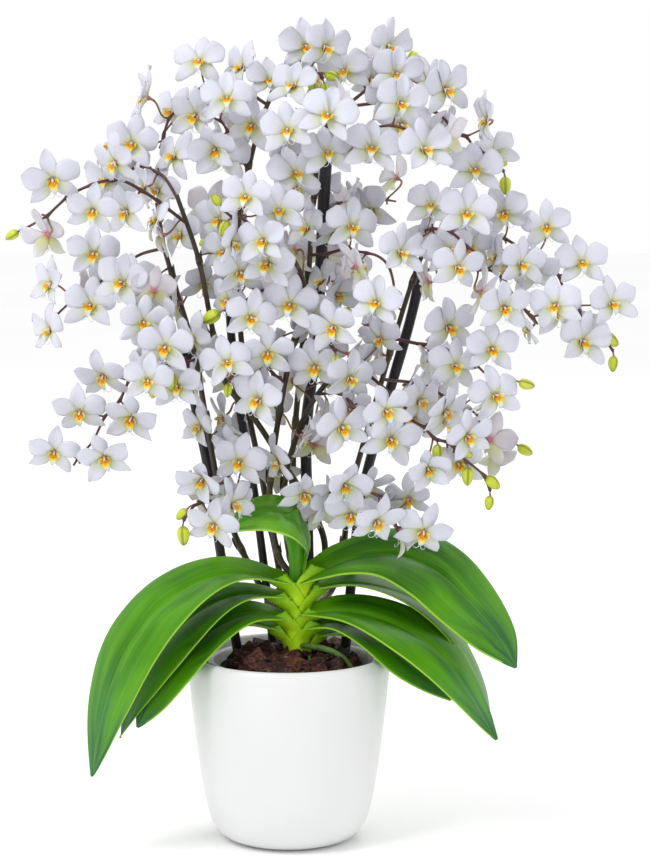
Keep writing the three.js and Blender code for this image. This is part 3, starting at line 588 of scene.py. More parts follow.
petalFront = petalFinish("petalWhite", (0.71, 0.715, 0.80), (0.55, 0.56, 0.66), (0.60, 0.63, 0.44), 0.28,
                         (0.62, 0.62, 0.34))
sepalFront = petalFinish("sepalWhite", (0.70, 0.71, 0.78), (0.56, 0.57, 0.65), (0.53, 0.59, 0.23), 0.44,
                         (0.52, 0.57, 0.07))
petalBack = petalFinish("petalBackWhite", (0.69, 0.675, 0.73), (0.59, 0.56, 0.61), (0.62, 0.53, 0.54), 0.38,
                        (0.55, 0.20, 0.28))
sepalBack = petalFinish("sepalBackWhite", (0.66, 0.66, 0.66), (0.60, 0.60, 0.50), (0.54, 0.57, 0.18), 0.6,
                        (0.54, 0.26, 0.15))
callus = grainFinish("callusOrange", (900, 3), ((0.36, (0.28, 0.03, 0.005)), (0.47, (0.88, 0.36, 0.005))),
                     (0.25, 0.45), (0.0003, 0.5), Subsurface_Weight=0.1, Subsurface_Scale=0.001)
pedicelTan = stalkFinish("pedicelTan", (0.10, 0.035, 0.025), (0.30, 0.16, 0.06), (0.42, 0.24, 0.16), 300)
branchPurple = stalkFinish("branchPurpleBrown", (0.075, 0.034, 0.020), (0.095, 0.030, 0.026),
                           (0.125, 0.040, 0.036), 320)
blossomFinishes = [petalFront, sepalFront, petalBack, sepalBack, lipFinish(), lobeFinish(), callus,
                   columnFinish(), pedicelTan, branchPurple, budFinish()]
petalSlot, sepalSlot, petalBackSlot, sepalBackSlot, lipSlot, lobeSlot = range(6)
callusSlot, columnSlot, pedicelSlot, branchSlot, budSlot = range(6, 11)
spikeBrown, barkBrown = spikeFinish(), barkFinish()
stakeBlack = grainFinish("stakeNearBlack", (420, 4, (1, 1, 0.1)), ((0.3, (0.004, 0.003, 0.005)),
                         (0.75, (0.022, 0.017, 0.024))), (0.4, 0.62), (0.0004, 0.5))
# colours: foot, middle, a blue-green end that is a painted sheen, a painted shade, the edge line, and the
# midrib line that also gives the painted sheen
leafGreen = leafFinish("leafGreen", (0.16, 0.42, 0.004), (0.062, 0.26, 0.002), (0.060, 0.190, 0.110),
                       (0.004, 0.075, 0.002), (0.34, 0.60, 0.05), (0.12, 0.37, 0.01))
leafYoung = leafFinish("leafYoungGreen", (0.22, 0.48, 0.02), (0.10, 0.36, 0.015), (0.08, 0.30, 0.03),
                       (0.04, 0.21, 0.01), (0.40, 0.64, 0.10), (0.22, 0.50, 0.05))
rootGreen = grainFinish("rootSilverGreen", (180, 4), ((0.3, (0.035, 0.10, 0.012)), (0.75, (0.15, 0.27, 0.05))),
                        (0.55, 0.8), (0.0008, 0.5))
humusDark = grainFinish("humusDark", (380, 5), ((0.35, (0.006, 0.003, 0.002)), (0.7, (0.030, 0.012, 0.008))),
                        (0.8, 0.95), (0.002, 0.8))
clearPlastic = grainFinish("clearGreyPlastic", (40, 2), ((0.3, (0.84, 0.86, 0.86)), (0.7, (0.93, 0.94, 0.94))),
                           (0.18, 0.34), (0.0002, 0.1), Transmission_Weight=0.2, IOR=1.46, Alpha=0.6)
print("materials ready")

# Blooms: five tepals, a three-lobed lip with its tendrils, and the column
bloomSizes = {
    "rows": 11, "columns": 6, "thickness": 0.42,
    "shapes": 8,  # differing blooms; the last is half open
    "openness": (0.78, 1.04), "halfOpen": 0.4, "closedLift": 62,
    "dorsal": {"angle": 90, "length": 20.0, "half": 5.1, "base": 0.9, "claw": 0.35, "widest": 0.52,
               "bluntness": 1.9, "forward": -0.7, "arch": 1.2, "shoulder": 0.07, "twist": 0.12},
    "petal": {"angle": 25, "length": 19.8, "half": 8.0, "base": 0.8, "claw": 0.13, "widest": 0.7,
              "bluntness": 2.3, "forward": 1.1, "arch": 2.0, "shoulder": 0.175, "twist": 0.25},
    "sepal": {"angle": -41, "length": 20.2, "half": 5.1, "base": 0.9, "claw": 0.4, "widest": 0.44,
              "bluntness": 1.7, "forward": -0.7, "arch": 1.5, "shoulder": 0.07, "twist": 0.12},
    # the least and the most by which single tepals differ
    "varied": {"angle": (-6, 6), "length": (0.96, 1.04), "half": (0.93, 1.07), "arch": (0.7, 1.3),
               "droop": (-2, 3), "cup": (-0.32, 0.48), "ruffle": (0.7, 1.5), "phase": (0, 6)},
    "waver": 0.04, "footCup": 0.9, "keel": 0.25, "keelReach": 0.22, "hub": (1.7, 1.7, 1.3),
}


def tepalShare(t, size):
    # half width at t as a share of the widest
    rise = math.sin(math.pi / 2 * clamp(t / size["widest"]))
    fall = clamp((t - size["widest"]) / (1 - size["widest"]))
    return (size["claw"] + (1 - size["claw"]) * rise) * (1 - fall ** size["bluntness"]) ** 0.7 + 0.02


def tepalRow(s):
    # rows lie evenly up to the start, then closer and closer to the tip
    start, power = 0.4, 1.5
    return 1 - (1 - s) ** power if s > start else s * (1 - (1 - start) ** power) / start


def tepal(bm, kind, isMirrored, number, openness):
    blossom, size = bloomSizes, bloomSizes[kind]
    front, back = (sepalSlot, sepalBackSlot) if kind == "sepal" else (petalSlot, petalBackSlot)
    angle, longer, wider, higher, droop, cup, ruffle, phase = (
        vary(number, 21 + i, *limits) for i, limits in enumerate(blossom["varied"].values()))
    turn = math.radians(size["angle"] + angle)
    if isMirrored:
        turn = math.pi - turn
    twist = -size["twist"] if isMirrored else size["twist"]
    length, half, arch = size["length"] * longer, size["half"] * wider, size["arch"] * higher
    lift = math.radians(blossom["closedLift"] * (1 - openness))  # a half-open bloom's tepals stand forward
    out, side = Vector((math.cos(turn), math.sin(turn), 0)), Vector((-math.sin(turn), math.cos(turn), 0))

    def shape(s, v):
        t = tepalRow(s)
        w = half * tepalShare(t, size)
        w *= 1 + blossom["waver"] * math.sin(8 * t + 2 * phase + (3 if v < 0 else 0))
        x = size["base"] + (length - size["base"]) * t - size["shoulder"] * w * v * v * t
        y = w * v
        z = size["forward"] * t + arch * math.sin(0.9 * math.pi * t) - droop * t ** 3  # along it
        z += cup * w * v * v + blossom["footCup"] * (1 - t) * abs(v) ** 1.5  # hollow across
        z += ruffle * v * v * math.sin(5.5 * t + phase + 1.5 * v) * smoothStep(t)  # waves at the edge
        keel = math.exp(-((v / blossom["keelReach"]) ** 2))
        z += twist * y * t - blossom["keel"] * keel * smoothStep(t) * (1 - t)
        x, z = x * math.cos(lift) - 0.3 * z * math.sin(lift), z + x * math.sin(lift)
        return out * x + side * y + Vector((0, 0, z))

    axis = out * math.sin(-lift) + Vector((0, 0, math.cos(lift)))
    for face in sheet(bm, blossom["rows"], blossom["columns"], blossom["thickness"], front, shape):
        if face.normal.dot(axis) < -0.15:
            face.material_index = back


lipSizes = {
    "scale": (0.86, 0.9, 0.95),
    "middle": [(0, -1.3, 1.0), (0, -3.2, 4.4), (0, -5.8, 5.8), (0, -9.4, 4.8)],
    "halves": (1.5, 3.1, 0.8), "widestAt": 0.42, "cup": (0.256, 0.384), "thickness": 0.45,
    "lobe": {"foot": (0.8, -1.9, 1.2), "half": 2.3, "rise": 5.152, "spread": 4.0, "forward": 1.3,
             "thickness": 0.4},
    "tendril": [(0.3, -9.1, 4.9), (1.3, -11.2, 4.8), (3.2, -12.2, 4.0), (4.7, -11.4, 3.2), (4.4, -9.9, 2.9),
                (3.4, -9.6, 3.3)],
    "tendrilRadius": 0.3, "tendrilTaper": 0.02,
    "sideCallus": ((0.85, -2.3, 3.6), (1.05, 1.2, 1.4)), "middleCallus": ((0, -3.6, 4.3), (1.3, 1.0, 1.0)),
    "column": {"place": (0, 0.1, 1.9), "lean": 16, "low": 1.05, "high": 0.8, "length": 3.6,
               "cap": (0.92, 0.9, 0.8)},
}


def lip(bm, number):
    size, lobe, firstVert = lipSizes, lipSizes["lobe"], len(bm.verts)
    middle, cup = asRoute(size["middle"]), vary(number, 31, *size["cup"])
    low, wide, tip = size["halves"]

    def blade(t, v):
        rise = smoothStep(clamp(t / size["widestAt"]))
        fall = clamp((t - size["widestAt"]) / (1 - size["widestAt"])) ** 1.5
        w = (low + (wide - low) * rise) * (1 - fall) + tip * fall
        back = Vector((1, 0, 0)).cross(routeTangent(middle, t))
        return routePoint(middle, t) + Vector((w * v, 0, 0)) - back * (cup * w * v * v)

    sheet(bm, 8, 4, size["thickness"], lipSlot, blade)
    for sign in (1, -1):
        def wing(t, v):
            # a side lobe stands up beside the column and spreads outward
            w = lobe["half"] * (0.35 + 0.65 * math.sin(math.pi * (0.12 + 0.78 * t)))
            step = Vector((lobe["spread"] * math.sin(1.6 * t) - 0.5 * v * v,
                           lobe["forward"] * t + 0.9 * w * v, lobe["rise"] * t - 0.4 * w * v * v))
            return (Vector(lobe["foot"]) + step) * Vector((sign, 1, 1))

        sheet(bm, 5, 4, lobe["thickness"], lobeSlot, wing)
        curl = evenPoints([Vector((sign * x, y, z)) for x, y, z in size["tendril"]], 7)
        radii = [size["tendrilRadius"] - size["tendrilTaper"] * k for k in range(len(curl))]
        sweep(bm, curl, radii, 4, lipSlot, marks=[0.9] * len(curl))
        (x, y, z), bulk = size["sideCallus"]
        ball(bm, (sign * x, y, z), bulk, callusSlot, 6, 5)
    ball(bm, *size["middleCallus"], callusSlot, 7, 5)
    column(bm)
    bm.verts.ensure_lookup_table()
    bmesh.ops.scale(bm, vec=size["scale"], verts=bm.verts[firstVert:])


def column(bm):
    size, firstFace, along = lipSizes["column"], len(bm.faces), fieldsOf(bm)[0]
    place = Vector(size["place"])
    stand = Matrix.Translation(place) @ Matrix.Rotation(math.radians(size["lean"]), 4, "X")
    made = bmesh.ops.create_cone(bm, cap_ends=True, segments=8, radius1=size["low"], radius2=size["high"],
                                 depth=size["length"], matrix=stand)
    for vert in made["verts"]:
        vert[along] = 0.0 if vert.co.z < 2 else 0.7
    newFaces(bm, firstFace, columnSlot)
    ball(bm, stand @ place, size["cap"], columnSlot, 8, 5, mark=1.0)


def bloomShape(number):
    bm = newForm()
    isLast = number == bloomSizes["shapes"] - 1
    openness = bloomSizes["halfOpen"] if isLast else vary(number, 20, *bloomSizes["openness"])
    parts = (("sepal", False), ("sepal", True), ("dorsal", False), ("petal", False), ("petal", True))
    for k, (kind, isMirrored) in enumerate(parts, 1):
        tepal(bm, kind, isMirrored, 10 * number + k, openness)
    lip(bm, number)
    ball(bm, (0, 0, -0.4), bloomSizes["hub"], petalBackSlot, 8, 5, mark=0.0)
    return shapeMesh(bm, f"bloomShape{number}")


budSizes = {"length": 11.5, "half": 4.1, "taper": 0.35, "ridge": 0.05, "flatness": 0.94}


def budShape():
    # a pointed egg along +Z from its foot at 0, with three faint ridges
    bm, size = newForm(), budSizes
    along, across = fieldsOf(bm)
    made = bmesh.ops.create_uvsphere(bm, u_segments=18, v_segments=9, radius=1)
    for vert in made["verts"]:
        t = (vert.co.z + 1) / 2
        ridge = math.cos(3 * math.atan2(vert.co.y, vert.co.x))
        half = size["half"] * (1.08 - size["taper"] * t) * (1 + size["ridge"] * ridge)
        vert[along], vert[across] = t, ridge
        vert.co = (vert.co.x * half, vert.co.y * half * size["flatness"], size["length"] * t)
    newFaces(bm, 0, budSlot)
    return shapeMesh(bm, "budShape")


bloomShapes = [bloomShape(number) for number in range(bloomSizes["shapes"])]
budModel = budShape()
print("bloom shapes ready:", sum(len(shape.polygons) for shape in bloomShapes), "faces")

# Where the blooms go: the rule of the solids, step by step
crown = {"middle": (20, 10, 320), "backAt": 75, "frontAt": 10, "ahead": 1.3, "outward": 0.55}
uneven = {"turn": 0.4, "nod": 0.16, "roll": 16}
rowSizes = {"firstBloom": 0.24, "budRoom": 0.07, "budStep": 0.11, "offset": 0.6, "budAlong": 0.7,
            "budHang": 0.5}
standing = {"spacing": 36, "aside": 15, "ahead": 12, "flatness": 2.2, "rounds": 60, "stemRoom": 13,
            "near": 45, "push": 0.3, "stemPush": 0.5, "pullHome": 0.06}
spikeRoutes = {name: asRoute(route) for name, route in spikes.items()}
stakeRoutes = {name: asRoute(stake["route"]) for name, stake in stakes.items()}


def branchRoute(spike, route):
    # a branch starts at the nearest point of its spike
    start = Vector(route[0])
    spikeLine = spikeRoutes["spike_" + spike]
    foot = min((routePoint(spikeLine, i / 200) for i in range(201)), key=lambda p: (p - start).length)
    return [foot, *asRoute(route[1:])]


def facingAt(place, number):
    outward = (place - Vector(crown["middle"])).normalized() * crown["outward"]
    front = smoothStep(clamp((crown["backAt"] - place.y) / (crown["backAt"] - crown["frontAt"])))
    facing = outward + Vector((0, crown["ahead"] * (1 - 2 * front), -uneven["nod"]))
    facing.x += uneven["turn"] * (2 * draw(number, 11) - 1)
    facing.y += uneven["turn"] * (draw(number, 12) - 0.5)
    facing.z += uneven["turn"] * (draw(number, 13) - 0.5)
    return facing.normalized()


def flowersOf(blooms, buds, route, firstNumber):
    # blooms alternate along the branch, its buds sit towards the end
    steps, first = len(route) - 1, rowSizes["firstBloom"]
    stops, total = evenPoints(route, steps), blooms + buds
    found = []
    for k in range(total):
        isBud = k >= blooms
        if isBud:
            share = 1 - rowSizes["budStep"] * (total - 1 - k)
        else:
            share = first + (1 - rowSizes["budRoom"] * buds - first) * (k + rowSizes["offset"]) / blooms
        step = min(steps - 1, int(share * steps))
        node = stops[step].lerp(stops[step + 1], share * steps - step)
        heading = (stops[step + 1] - stops[step]).normalized()
        facing = facingAt(node, firstNumber + k)
        side = heading.cross(facing).normalized() * (1 if k % 2 else -1)
        flower = {"isBud": isBud, "node": node, "number": firstNumber + k, "facing": facing, "side": side,
                  "heading": heading}
        if isBud:
            pointing = rowSizes["budAlong"] * heading + side
            pointing.z -= rowSizes["budHang"]
            flower["pointing"] = pointing.normalized()
        else:
            flower["place"] = node + side * standing["aside"] + facing * standing["ahead"]
            flower["home"] = flower["place"].copy()
        found.append(flower)
    return found


def flattened(step, facing, flatness):
    # a distance that counts more along the facing than across it
    deep = step.dot(facing)
    return math.sqrt(step.length_squared + (flatness ** 2 - 1) * deep * deep)


def settle(blooms, stems):
    # blooms give way to each other and to the stems, and hang back towards their places
    spacing, room = standing["spacing"], standing["stemRoom"]
    near = [[point for point in stems if (point - flower["home"]).length < standing["near"]]
            for flower in blooms]
    for _ in range(standing["rounds"]):
        for i, one in enumerate(blooms):
            for other in blooms[i + 1:]:
                step = other["place"] - one["place"]
                if step.length_squared > spacing ** 2:
                    continue
                between = (one["facing"] + other["facing"]).normalized()
                apart = flattened(step, between, standing["flatness"])
                if apart >= spacing:
                    continue
                step *= standing["push"] * (spacing - apart) / (step.length + 0.01)
                one["place"] -= step
                other["place"] += step
        for flower, points in zip(blooms, near):
            for point in points:
                step = flower["place"] - point
                length = step.length + 0.01
                if length < room:
                    flower["place"] += step * (standing["stemPush"] * (room - length) / length)
            flower["place"] += (flower["home"] - flower["place"]) * standing["pullHome"]


branches, flowers, flowerCount = {}, {}, 0
for name, (spike, blooms, buds, route) in sprays.items():
    branches[name] = branchRoute(spike, route)
    flowers[name] = flowersOf(blooms, buds, branches[name], flowerCount)
    flowerCount += blooms + buds
allBlooms = [flower for found in flowers.values() for flower in found if not flower["isBud"]]
stemPoints = [routePoint(route, i / 30) for route in (*stakeRoutes.values(), *spikeRoutes.values())
              for i in range(31)]
settle(allBlooms, stemPoints)

# Inner blooms: smaller ones that fill the crown behind the outer layer, on the same branches and spikes
inner = {"apart": 22, "depthRoom": 1.4, "stemRoom": 9, "swing": (20, 100), "scale": 0.9, "top": 545,
         "away": ((-0.5, 0.5), (-0.5, 0.7), (-0.6, 0.4)),
         "onBranch": {"tries": 40, "most": 2, "reach": (9, 21), "firstRing": 4},
         "onSpike": {"tries": 160, "most": 6, "reach": (16, 30), "firstRing": 26}}
solidBlooms = len(allBlooms)


def addInner(name, line, firstSeed, kind):
    size, added = inner[kind], 0
    for seed in range(firstSeed, firstSeed + size["tries"]):
        k = size["firstRing"] + int((len(line) - 3 - size["firstRing"]) * draw(seed, 1))
        node = line[k]
        away = Vector([vary(seed, 2 + i, *limits) for i, limits in enumerate(inner["away"])]).normalized()
        place = node + away * vary(seed, 5, *size["reach"])
        swing = math.radians(vary(seed, 6, *inner["swing"])) * (1 if draw(seed, 7) > 0.5 else -1)
        facing = Matrix.Rotation(swing, 3, "Z") @ facingAt(node, seed)
        room = min(flattened(place - flower["place"], flower["facing"], inner["depthRoom"])
                   for flower in allBlooms)
        stemRoom = min((point - place).length for point in stemPoints)
        if room < inner["apart"] or stemRoom < inner["stemRoom"] or place.z > inner["top"]:
            continue
        flower = {"isBud": False, "node": node, "number": seed, "facing": facing, "place": place,
                  "side": away, "heading": (line[k + 1] - line[k - 1]).normalized(),
                  "scale": inner["scale"], "onSpike": kind == "onSpike"}
        flowers[name].append(flower)
        allBlooms.append(flower)
        added += 1
        if added == size["most"]:
            break


for index, name in enumerate(sprays):
    addInner(name, evenPoints(branches[name], 30), 1000 + 100 * index, "onBranch")
for index, name in enumerate(spikes):
    host = next(key for key, value in sprays.items() if "spike_" + value[0] == name)
    addInner(host, evenPoints(spikeRoutes[name], 60), 9000 + 200 * index, "onSpike")

# each bloom also nods and swings a little by itself, and about one in six is turned well away from its row
tilts = {"nod": 34, "nodMiddle": 0.42, "swing": 54, "turnedShare": 0.17, "turned": (55, 125),
         "frontEdge": -74}
for flower in allBlooms:
    number, facing = flower["number"], flower["facing"]
    turn = math.radians(uneven["roll"] * (2 * draw(number, 14) - 1))
    level = upward.cross(facing).normalized()
    up = facing.cross(level) * math.cos(turn) + level * math.sin(turn)
    nodAngle = math.radians(tilts["nod"] * (draw(number, 15) - tilts["nodMiddle"]))
    nod = Matrix.Rotation(nodAngle, 3, up.cross(facing))
    swingAngle = tilts["swing"] * (draw(number, 16) - 0.5)
    if draw(number, 17) < tilts["turnedShare"] and flower["place"].y > tilts["frontEdge"]:
        swingAngle = math.copysign(vary(number, 18, *tilts["turned"]), swingAngle)
    swing = Matrix.Rotation(math.radians(swingAngle), 3, up)
    flower["facing"], flower["up"] = swing @ nod @ facing, swing @ nod @ up
    flower["right"] = flower["up"].cross(flower["facing"])
print("blooms placed:", solidBlooms, "and", len(allBlooms) - solidBlooms, "inner ones")

# Sprays: the branch with its knobs and stubs, curved pedicels, blooms and buds in one piece
spraySizes = {"radius": 1.25, "tipRadius": 0.8, "zigzag": 1.3, "knob": 0.55, "knobReach": 2.2,
              "thickest": 1.9, "ringEvery": 3.0, "sides": 6, "varied": (0.93, 1.07), "youngFrom": 0.93,
              "stubShare": 0.3, "stubLength": 4, "stubLean": 0.8, "stubRadii": [0.9, 0.6, 0.8],
              "pedicelStart": 0.95, "pedicelFoot": 0.62, "pedicelHead": 0.95, "pedicelRings": 8,
              "pedicelLeave": 0.4, "pedicelArrive": 0.38, "pedicelBehind": 1.2,
              "budStalk": [0.75, 0.6, 0.6, 0.75, 1.0], "budReach": 5, "budSag": (-0.35, -0.75),
              "budScales": (1.14, 1.0, 0.86), "budSunk": 0.6}


def bendCurve(start, startAim, end, endAim, count):
    # points of one soft bend from start to end, leaving and arriving along the two aims
    points = []
    for k in range(count):
        t = k / (count - 1)
        points.append(start * (1 - t) ** 3 + (start + startAim) * 3 * t * (1 - t) ** 2
                      + (end - endAim) * 3 * t * t * (1 - t) + end * t ** 3)
    return points


def nearestOn(points, place):
    return min(range(len(points)), key=lambda k: (points[k] - place).length)


def swelled(radius, run, knots, swell, reach):
    # the radius at a place of a stalk, thicker near its knots
    return radius + sum(swell * math.exp(-(((run - knot) / reach) ** 2)) for knot in knots)


def branch(bm, name):
    # sweeps the branch with its stubs, and gives its line and each flower's seat on it
    size, route = spraySizes, branches[name]
    length = routeLength(route, 40)
    rings = max(8, round(length / size["ringEvery"]))
    line = evenPoints(route, rings)
    seated = [flower for flower in flowers[name] if not flower.get("onSpike")]
    seats = {flower["number"]: nearestOn(line, flower["node"]) for flower in seated}
    # it bends a little towards the pedicel at each node
    bends = sorted(((seats[f["number"]], f["side"] * size["zigzag"]) for f in seated),
                   key=lambda bend: bend[0])
    bends = [(0, Vector())] + bends + [(rings, bends[-1][1])]
    every, radii = length / rings, []
    for k in range(rings + 1):
        for (i, before), (j, after) in zip(bends, bends[1:]):
            if i <= k < j or k == j == rings:
                line[k] = line[k] + before.lerp(after, (k - i) / (j - i) if j > i else 1)
                break
        radius = size["radius"] + (size["tipRadius"] - size["radius"]) * k / rings
        radius = swelled(radius, k * every, [seat * every for seat in seats.values()], size["knob"],
                         size["knobReach"])
        radii.append(min(radius, size["thickest"]))
    sweep(bm, line, radii, size["sides"], branchSlot)
    for i, (k, bend) in enumerate(bends[1:-1]):
        if draw(k, 45 + i) > size["stubShare"]:
            continue
        # a short stub where an earlier bloom has dropped
        onward = (line[min(k + 1, rings)] - line[max(k - 1, 0)]).normalized()
        aim = (onward * size["stubLean"] - bend.normalized()).normalized() * size["stubLength"]
        sweep(bm, [line[k], line[k] + aim * 0.5, line[k] + aim], size["stubRadii"], 5, branchSlot)
    return line, seats


def budOn(bm, flower, seat, scale):
    size, number, pointing = spraySizes, flower["number"], flower["pointing"]
    head = flower["node"] + pointing * size["budReach"]
    aim = (pointing + upward * vary(number, 42, *size["budSag"])).normalized()
    stalk = bendCurve(seat, flower["side"] * 2.0 + flower["heading"] * 1.5, head, aim * 2.0,
                      len(size["budStalk"]))
    sweep(bm, stalk, size["budStalk"], 5, pedicelSlot)
    stand = Matrix.Translation(head - aim * size["budSunk"]) @ turnedTo(aim)
    placeShape(bm, budModel, stand @ Matrix.Scale(scale * size["budScales"][number % 3], 4))


def bloomOn(bm, flower, seat, scale):
    size, number, facing, place = spraySizes, flower["number"], flower["facing"], flower["place"]
    back = place - facing * size["pedicelBehind"]
    reach = (back - seat).length
    aim = (flower["side"] + 0.5 * flower["heading"]).normalized() * size["pedicelLeave"] * reach
    stalk = bendCurve(seat, aim, back, facing * size["pedicelArrive"] * reach, size["pedicelRings"])
    foot, head, last = size["pedicelFoot"], size["pedicelHead"], size["pedicelRings"] - 1
    widths = [foot + (head - foot) * (k / last) ** 1.5 for k in range(last + 1)]
    widths[0] = size["pedicelStart"]
    sweep(bm, stalk, widths, 5, pedicelSlot)
    stand = Matrix((flower["right"], flower["up"], facing)).transposed().to_4x4()
    isYoung = draw(number, 43) > size["youngFrom"]
    shape = bloomShapes[-1 if isYoung else int(draw(number, 44) * (len(bloomShapes) - 1))]
    placeShape(bm, shape, Matrix.Translation(place) @ stand @ Matrix.Scale(scale, 4))


def spray(name):
    bm = newForm()
    line, seats = branch(bm, name)
    for flower in flowers[name]:
        number = flower["number"]
        seat = flower["node"] if flower.get("onSpike") else line[seats[number]]
        scale = vary(number, 41, *spraySizes["varied"]) * flower.get("scale", 1)
        add = budOn if flower["isBud"] else bloomOn
        add(bm, flower, seat, scale)
    finishPiece(bm, "bloomSpray" + name[-2:], blossomFinishes, name)


for name in sprays:
    spray(name)
print("sprays made:", len(sprays))

# Spikes with nodes and bracts, and the dark stakes
spikeSizes = {"foot": 2.35, "tip": 1.5, "taper": 1.3, "nodeEvery": 52, "firstNode": (20, 40), "bareEnd": 15,
              "swell": 0.75, "swellReach": 3.0, "sides": 10, "ringEvery": 3.0, "bractLength": 9.0,
              "bractHalf": 1.15, "bractGap": 0.25, "bractLift": 1.1, "bractTurn": 2.4, "bractThickness": 0.4}
stakeSizes = {"sides": 14, "ringEvery": 6, "waver": 0.03, "end": 0.75,
              "cutBack": 0.85, "reachOut": -0.05, "chamfer": 0.12}


def spike(name):
    bm, size, route = newForm(), spikeSizes, spikeRoutes[name]
    length = routeLength(route)
    rings = round(length / size["ringEvery"])
    line = evenPoints(route, rings)
    start, every = vary(len(name), 51, *size["firstNode"]), size["nodeEvery"]
    nodes = [start + every * i for i in range(12) if start + every * i < length - size["bareEnd"]]
    radii, marks = [], []
    for k in range(rings + 1):
        run = k * length / rings
        radius = size["foot"] + (size["tip"] - size["foot"]) * (k / rings) ** size["taper"]
        radii.append(swelled(radius, run, nodes, size["swell"], size["swellReach"]))
        marks.append((run - start) / every + 10)  # whole numbers at the nodes
    sweep(bm, line, radii, size["sides"], 0, marks)
    for i, node in enumerate(nodes):
        k = min(rings - 2, round(node * rings / length))
        heading = (line[k + 1] - line[k]).normalized()
        spin = Matrix.Rotation(size["bractTurn"] * i, 4, "Z")
        stand = Matrix.Translation(line[k]) @ turnedTo(heading) @ spin

        def bract(t, v):
            # a pointed scale that hugs the spike
            angle = v * (size["bractHalf"] * (1 - t ** 1.6) + 0.02)
            hug = radii[k] + size["bractGap"] + size["bractLift"] * t * t
            height = size["bractLength"] * t - 0.5
            return stand @ Vector((hug * math.cos(angle), hug * math.sin(angle), height))

        sheet(bm, 6, 4, size["bractThickness"], 0, bract)
    finishPiece(bm, pieceName("flower", name.split("_")), [spikeBrown], name)


def stake(name):
    bm, size, route, radius = newForm(), stakeSizes, stakeRoutes[name], stakes[name]["radius"]
    rings = round(routeLength(route) / size["ringEvery"])
    line = evenPoints(route, rings)
    radii = [radius * (1 - size["waver"] + size["waver"] * math.sin(0.7 * k)) for k in range(rings + 1)]
    radii[0] = radii[-1] = size["end"] * radius
    # the foot starts higher in the bark, the top reaches a little further, and both ends are chamfered
    line[0] = line[0].lerp(line[1], size["cutBack"])
    line[-1] = line[-1].lerp(line[-2], size["reachOut"])
    line[-2] = line[-1].lerp(line[-3], size["chamfer"])
    line[1] = line[0].lerp(line[2], size["chamfer"])
    sweep(bm, line, radii, size["sides"])
    finishPiece(bm, pieceName("support", name.split("_")), [stakeBlack], name)


for name in spikes:
    spike(name)
for name in stakes:
    stake(name)
print("spikes and stakes made")

# Leaves: the midrib's route and the blade of the solids, finer, with a groove along the midrib
leafSizes = {"thickness": 1.3, "rows": 56, "columns": 22, "tipRows": 1.35, "edgeColumns": 0.45, "fold": 0.5,
             "dome": 0.14, "wave": 1.4, "groove": 1.0, "grooveReach": 0.075, "rim": 0.35, "rimAngle": 1.2,
             "footShare": 0.42, "fullFrom": 0.5, "claspShare": 0.62, "claspEnd": 0.12, "tipFrom": 0.55,
             "tipBlunt": 1.8}


def leafShare(t):
    # half width at t as a share of the widest: a clasping foot, a full middle and a pointed tip
    size = leafSizes
    foot = size["footShare"] + (1 - size["footShare"]) * smoothStep(clamp(t / size["fullFrom"]))
    clasp = size["claspShare"] + (1 - size["claspShare"]) * smoothStep(clamp(t / size["claspEnd"]))
    tip = clamp((t - size["tipFrom"]) / (1 - size["tipFrom"])) ** size["tipBlunt"]
    return clasp * foot * (1 - tip) ** 0.95 + 0.012


def leaf(name, number):
    bm, size, blade = newForm(), leafSizes, leaves[name]
    route = asRoute(blade["route"])
    heading = route[-1] - route[0]
    heading.z = 0
    flat = heading.normalized().cross(upward)
    lean = math.copysign(math.radians(blade["roll"]), flat.y)

    def shape(s, v):
        t = 1 - (1 - s) ** size["tipRows"]
        v = v * (1 - size["edgeColumns"] + size["edgeColumns"] * abs(v))
        along = routeTangent(route, t)
        side = (flat - along * flat.dot(along)).normalized()
        face = side.cross(along)
        across = side * math.cos(lean) + face * math.sin(lean)
        up = face * math.cos(lean) - side * math.sin(lean)
        half = blade["width"] / 2 * leafShare(t)
        keel = math.sqrt(v * v + 0.002)
        lift = half * (size["fold"] * (1 - t) ** 2 * keel - size["dome"] * v * v)
        lift += size["wave"] * v * v * math.sin(7 * t + 2.4 * number + v)  # each leaf waves differently
        lift -= size["groove"] * math.exp(-((v / size["grooveReach"]) ** 2)) * (1 - 0.6 * t)
        return routePoint(route, t) + across * (v * half) + up * lift

    sheet(bm, size["rows"], size["columns"], size["thickness"], 0, shape)
    rim = [e for e in bm.edges if len(e.link_faces) == 2 and e.calc_face_angle(0) > size["rimAngle"]]
    bmesh.ops.bevel(bm, geom=rim, offset=size["rim"], offset_type="OFFSET", segments=2, profile=0.5,
                    affect="EDGES", material=-1)
    finish = leafYoung if blade.get("young") else leafGreen
    finishPiece(bm, pieceName("strapLeaf", name.split("_")[1:]), [finish], name)


for number, name in enumerate(leaves):
    leaf(name, number)
print("leaves made")

# Stem, aerial root and bark
stemSizes = {"x": 6, "foot": 120, "top": 182, "radius": 6.9, "ridge": 1.2, "leafPairs": 4.5, "rings": 48,
             "bluntFrom": 0.85, "cap": 1.5, "sides": 32}
sheathSizes = {"drop": 17, "radius": 8.6, "bulge": 1.1, "meets": 21, "wrapLow": 112, "wrapHigh": 38,
               "edgeLift": 5.5, "opensFrom": 0.35, "edgeReach": 0.35, "thickness": 1.2, "under": 1.2,
               "slim": 0.62}


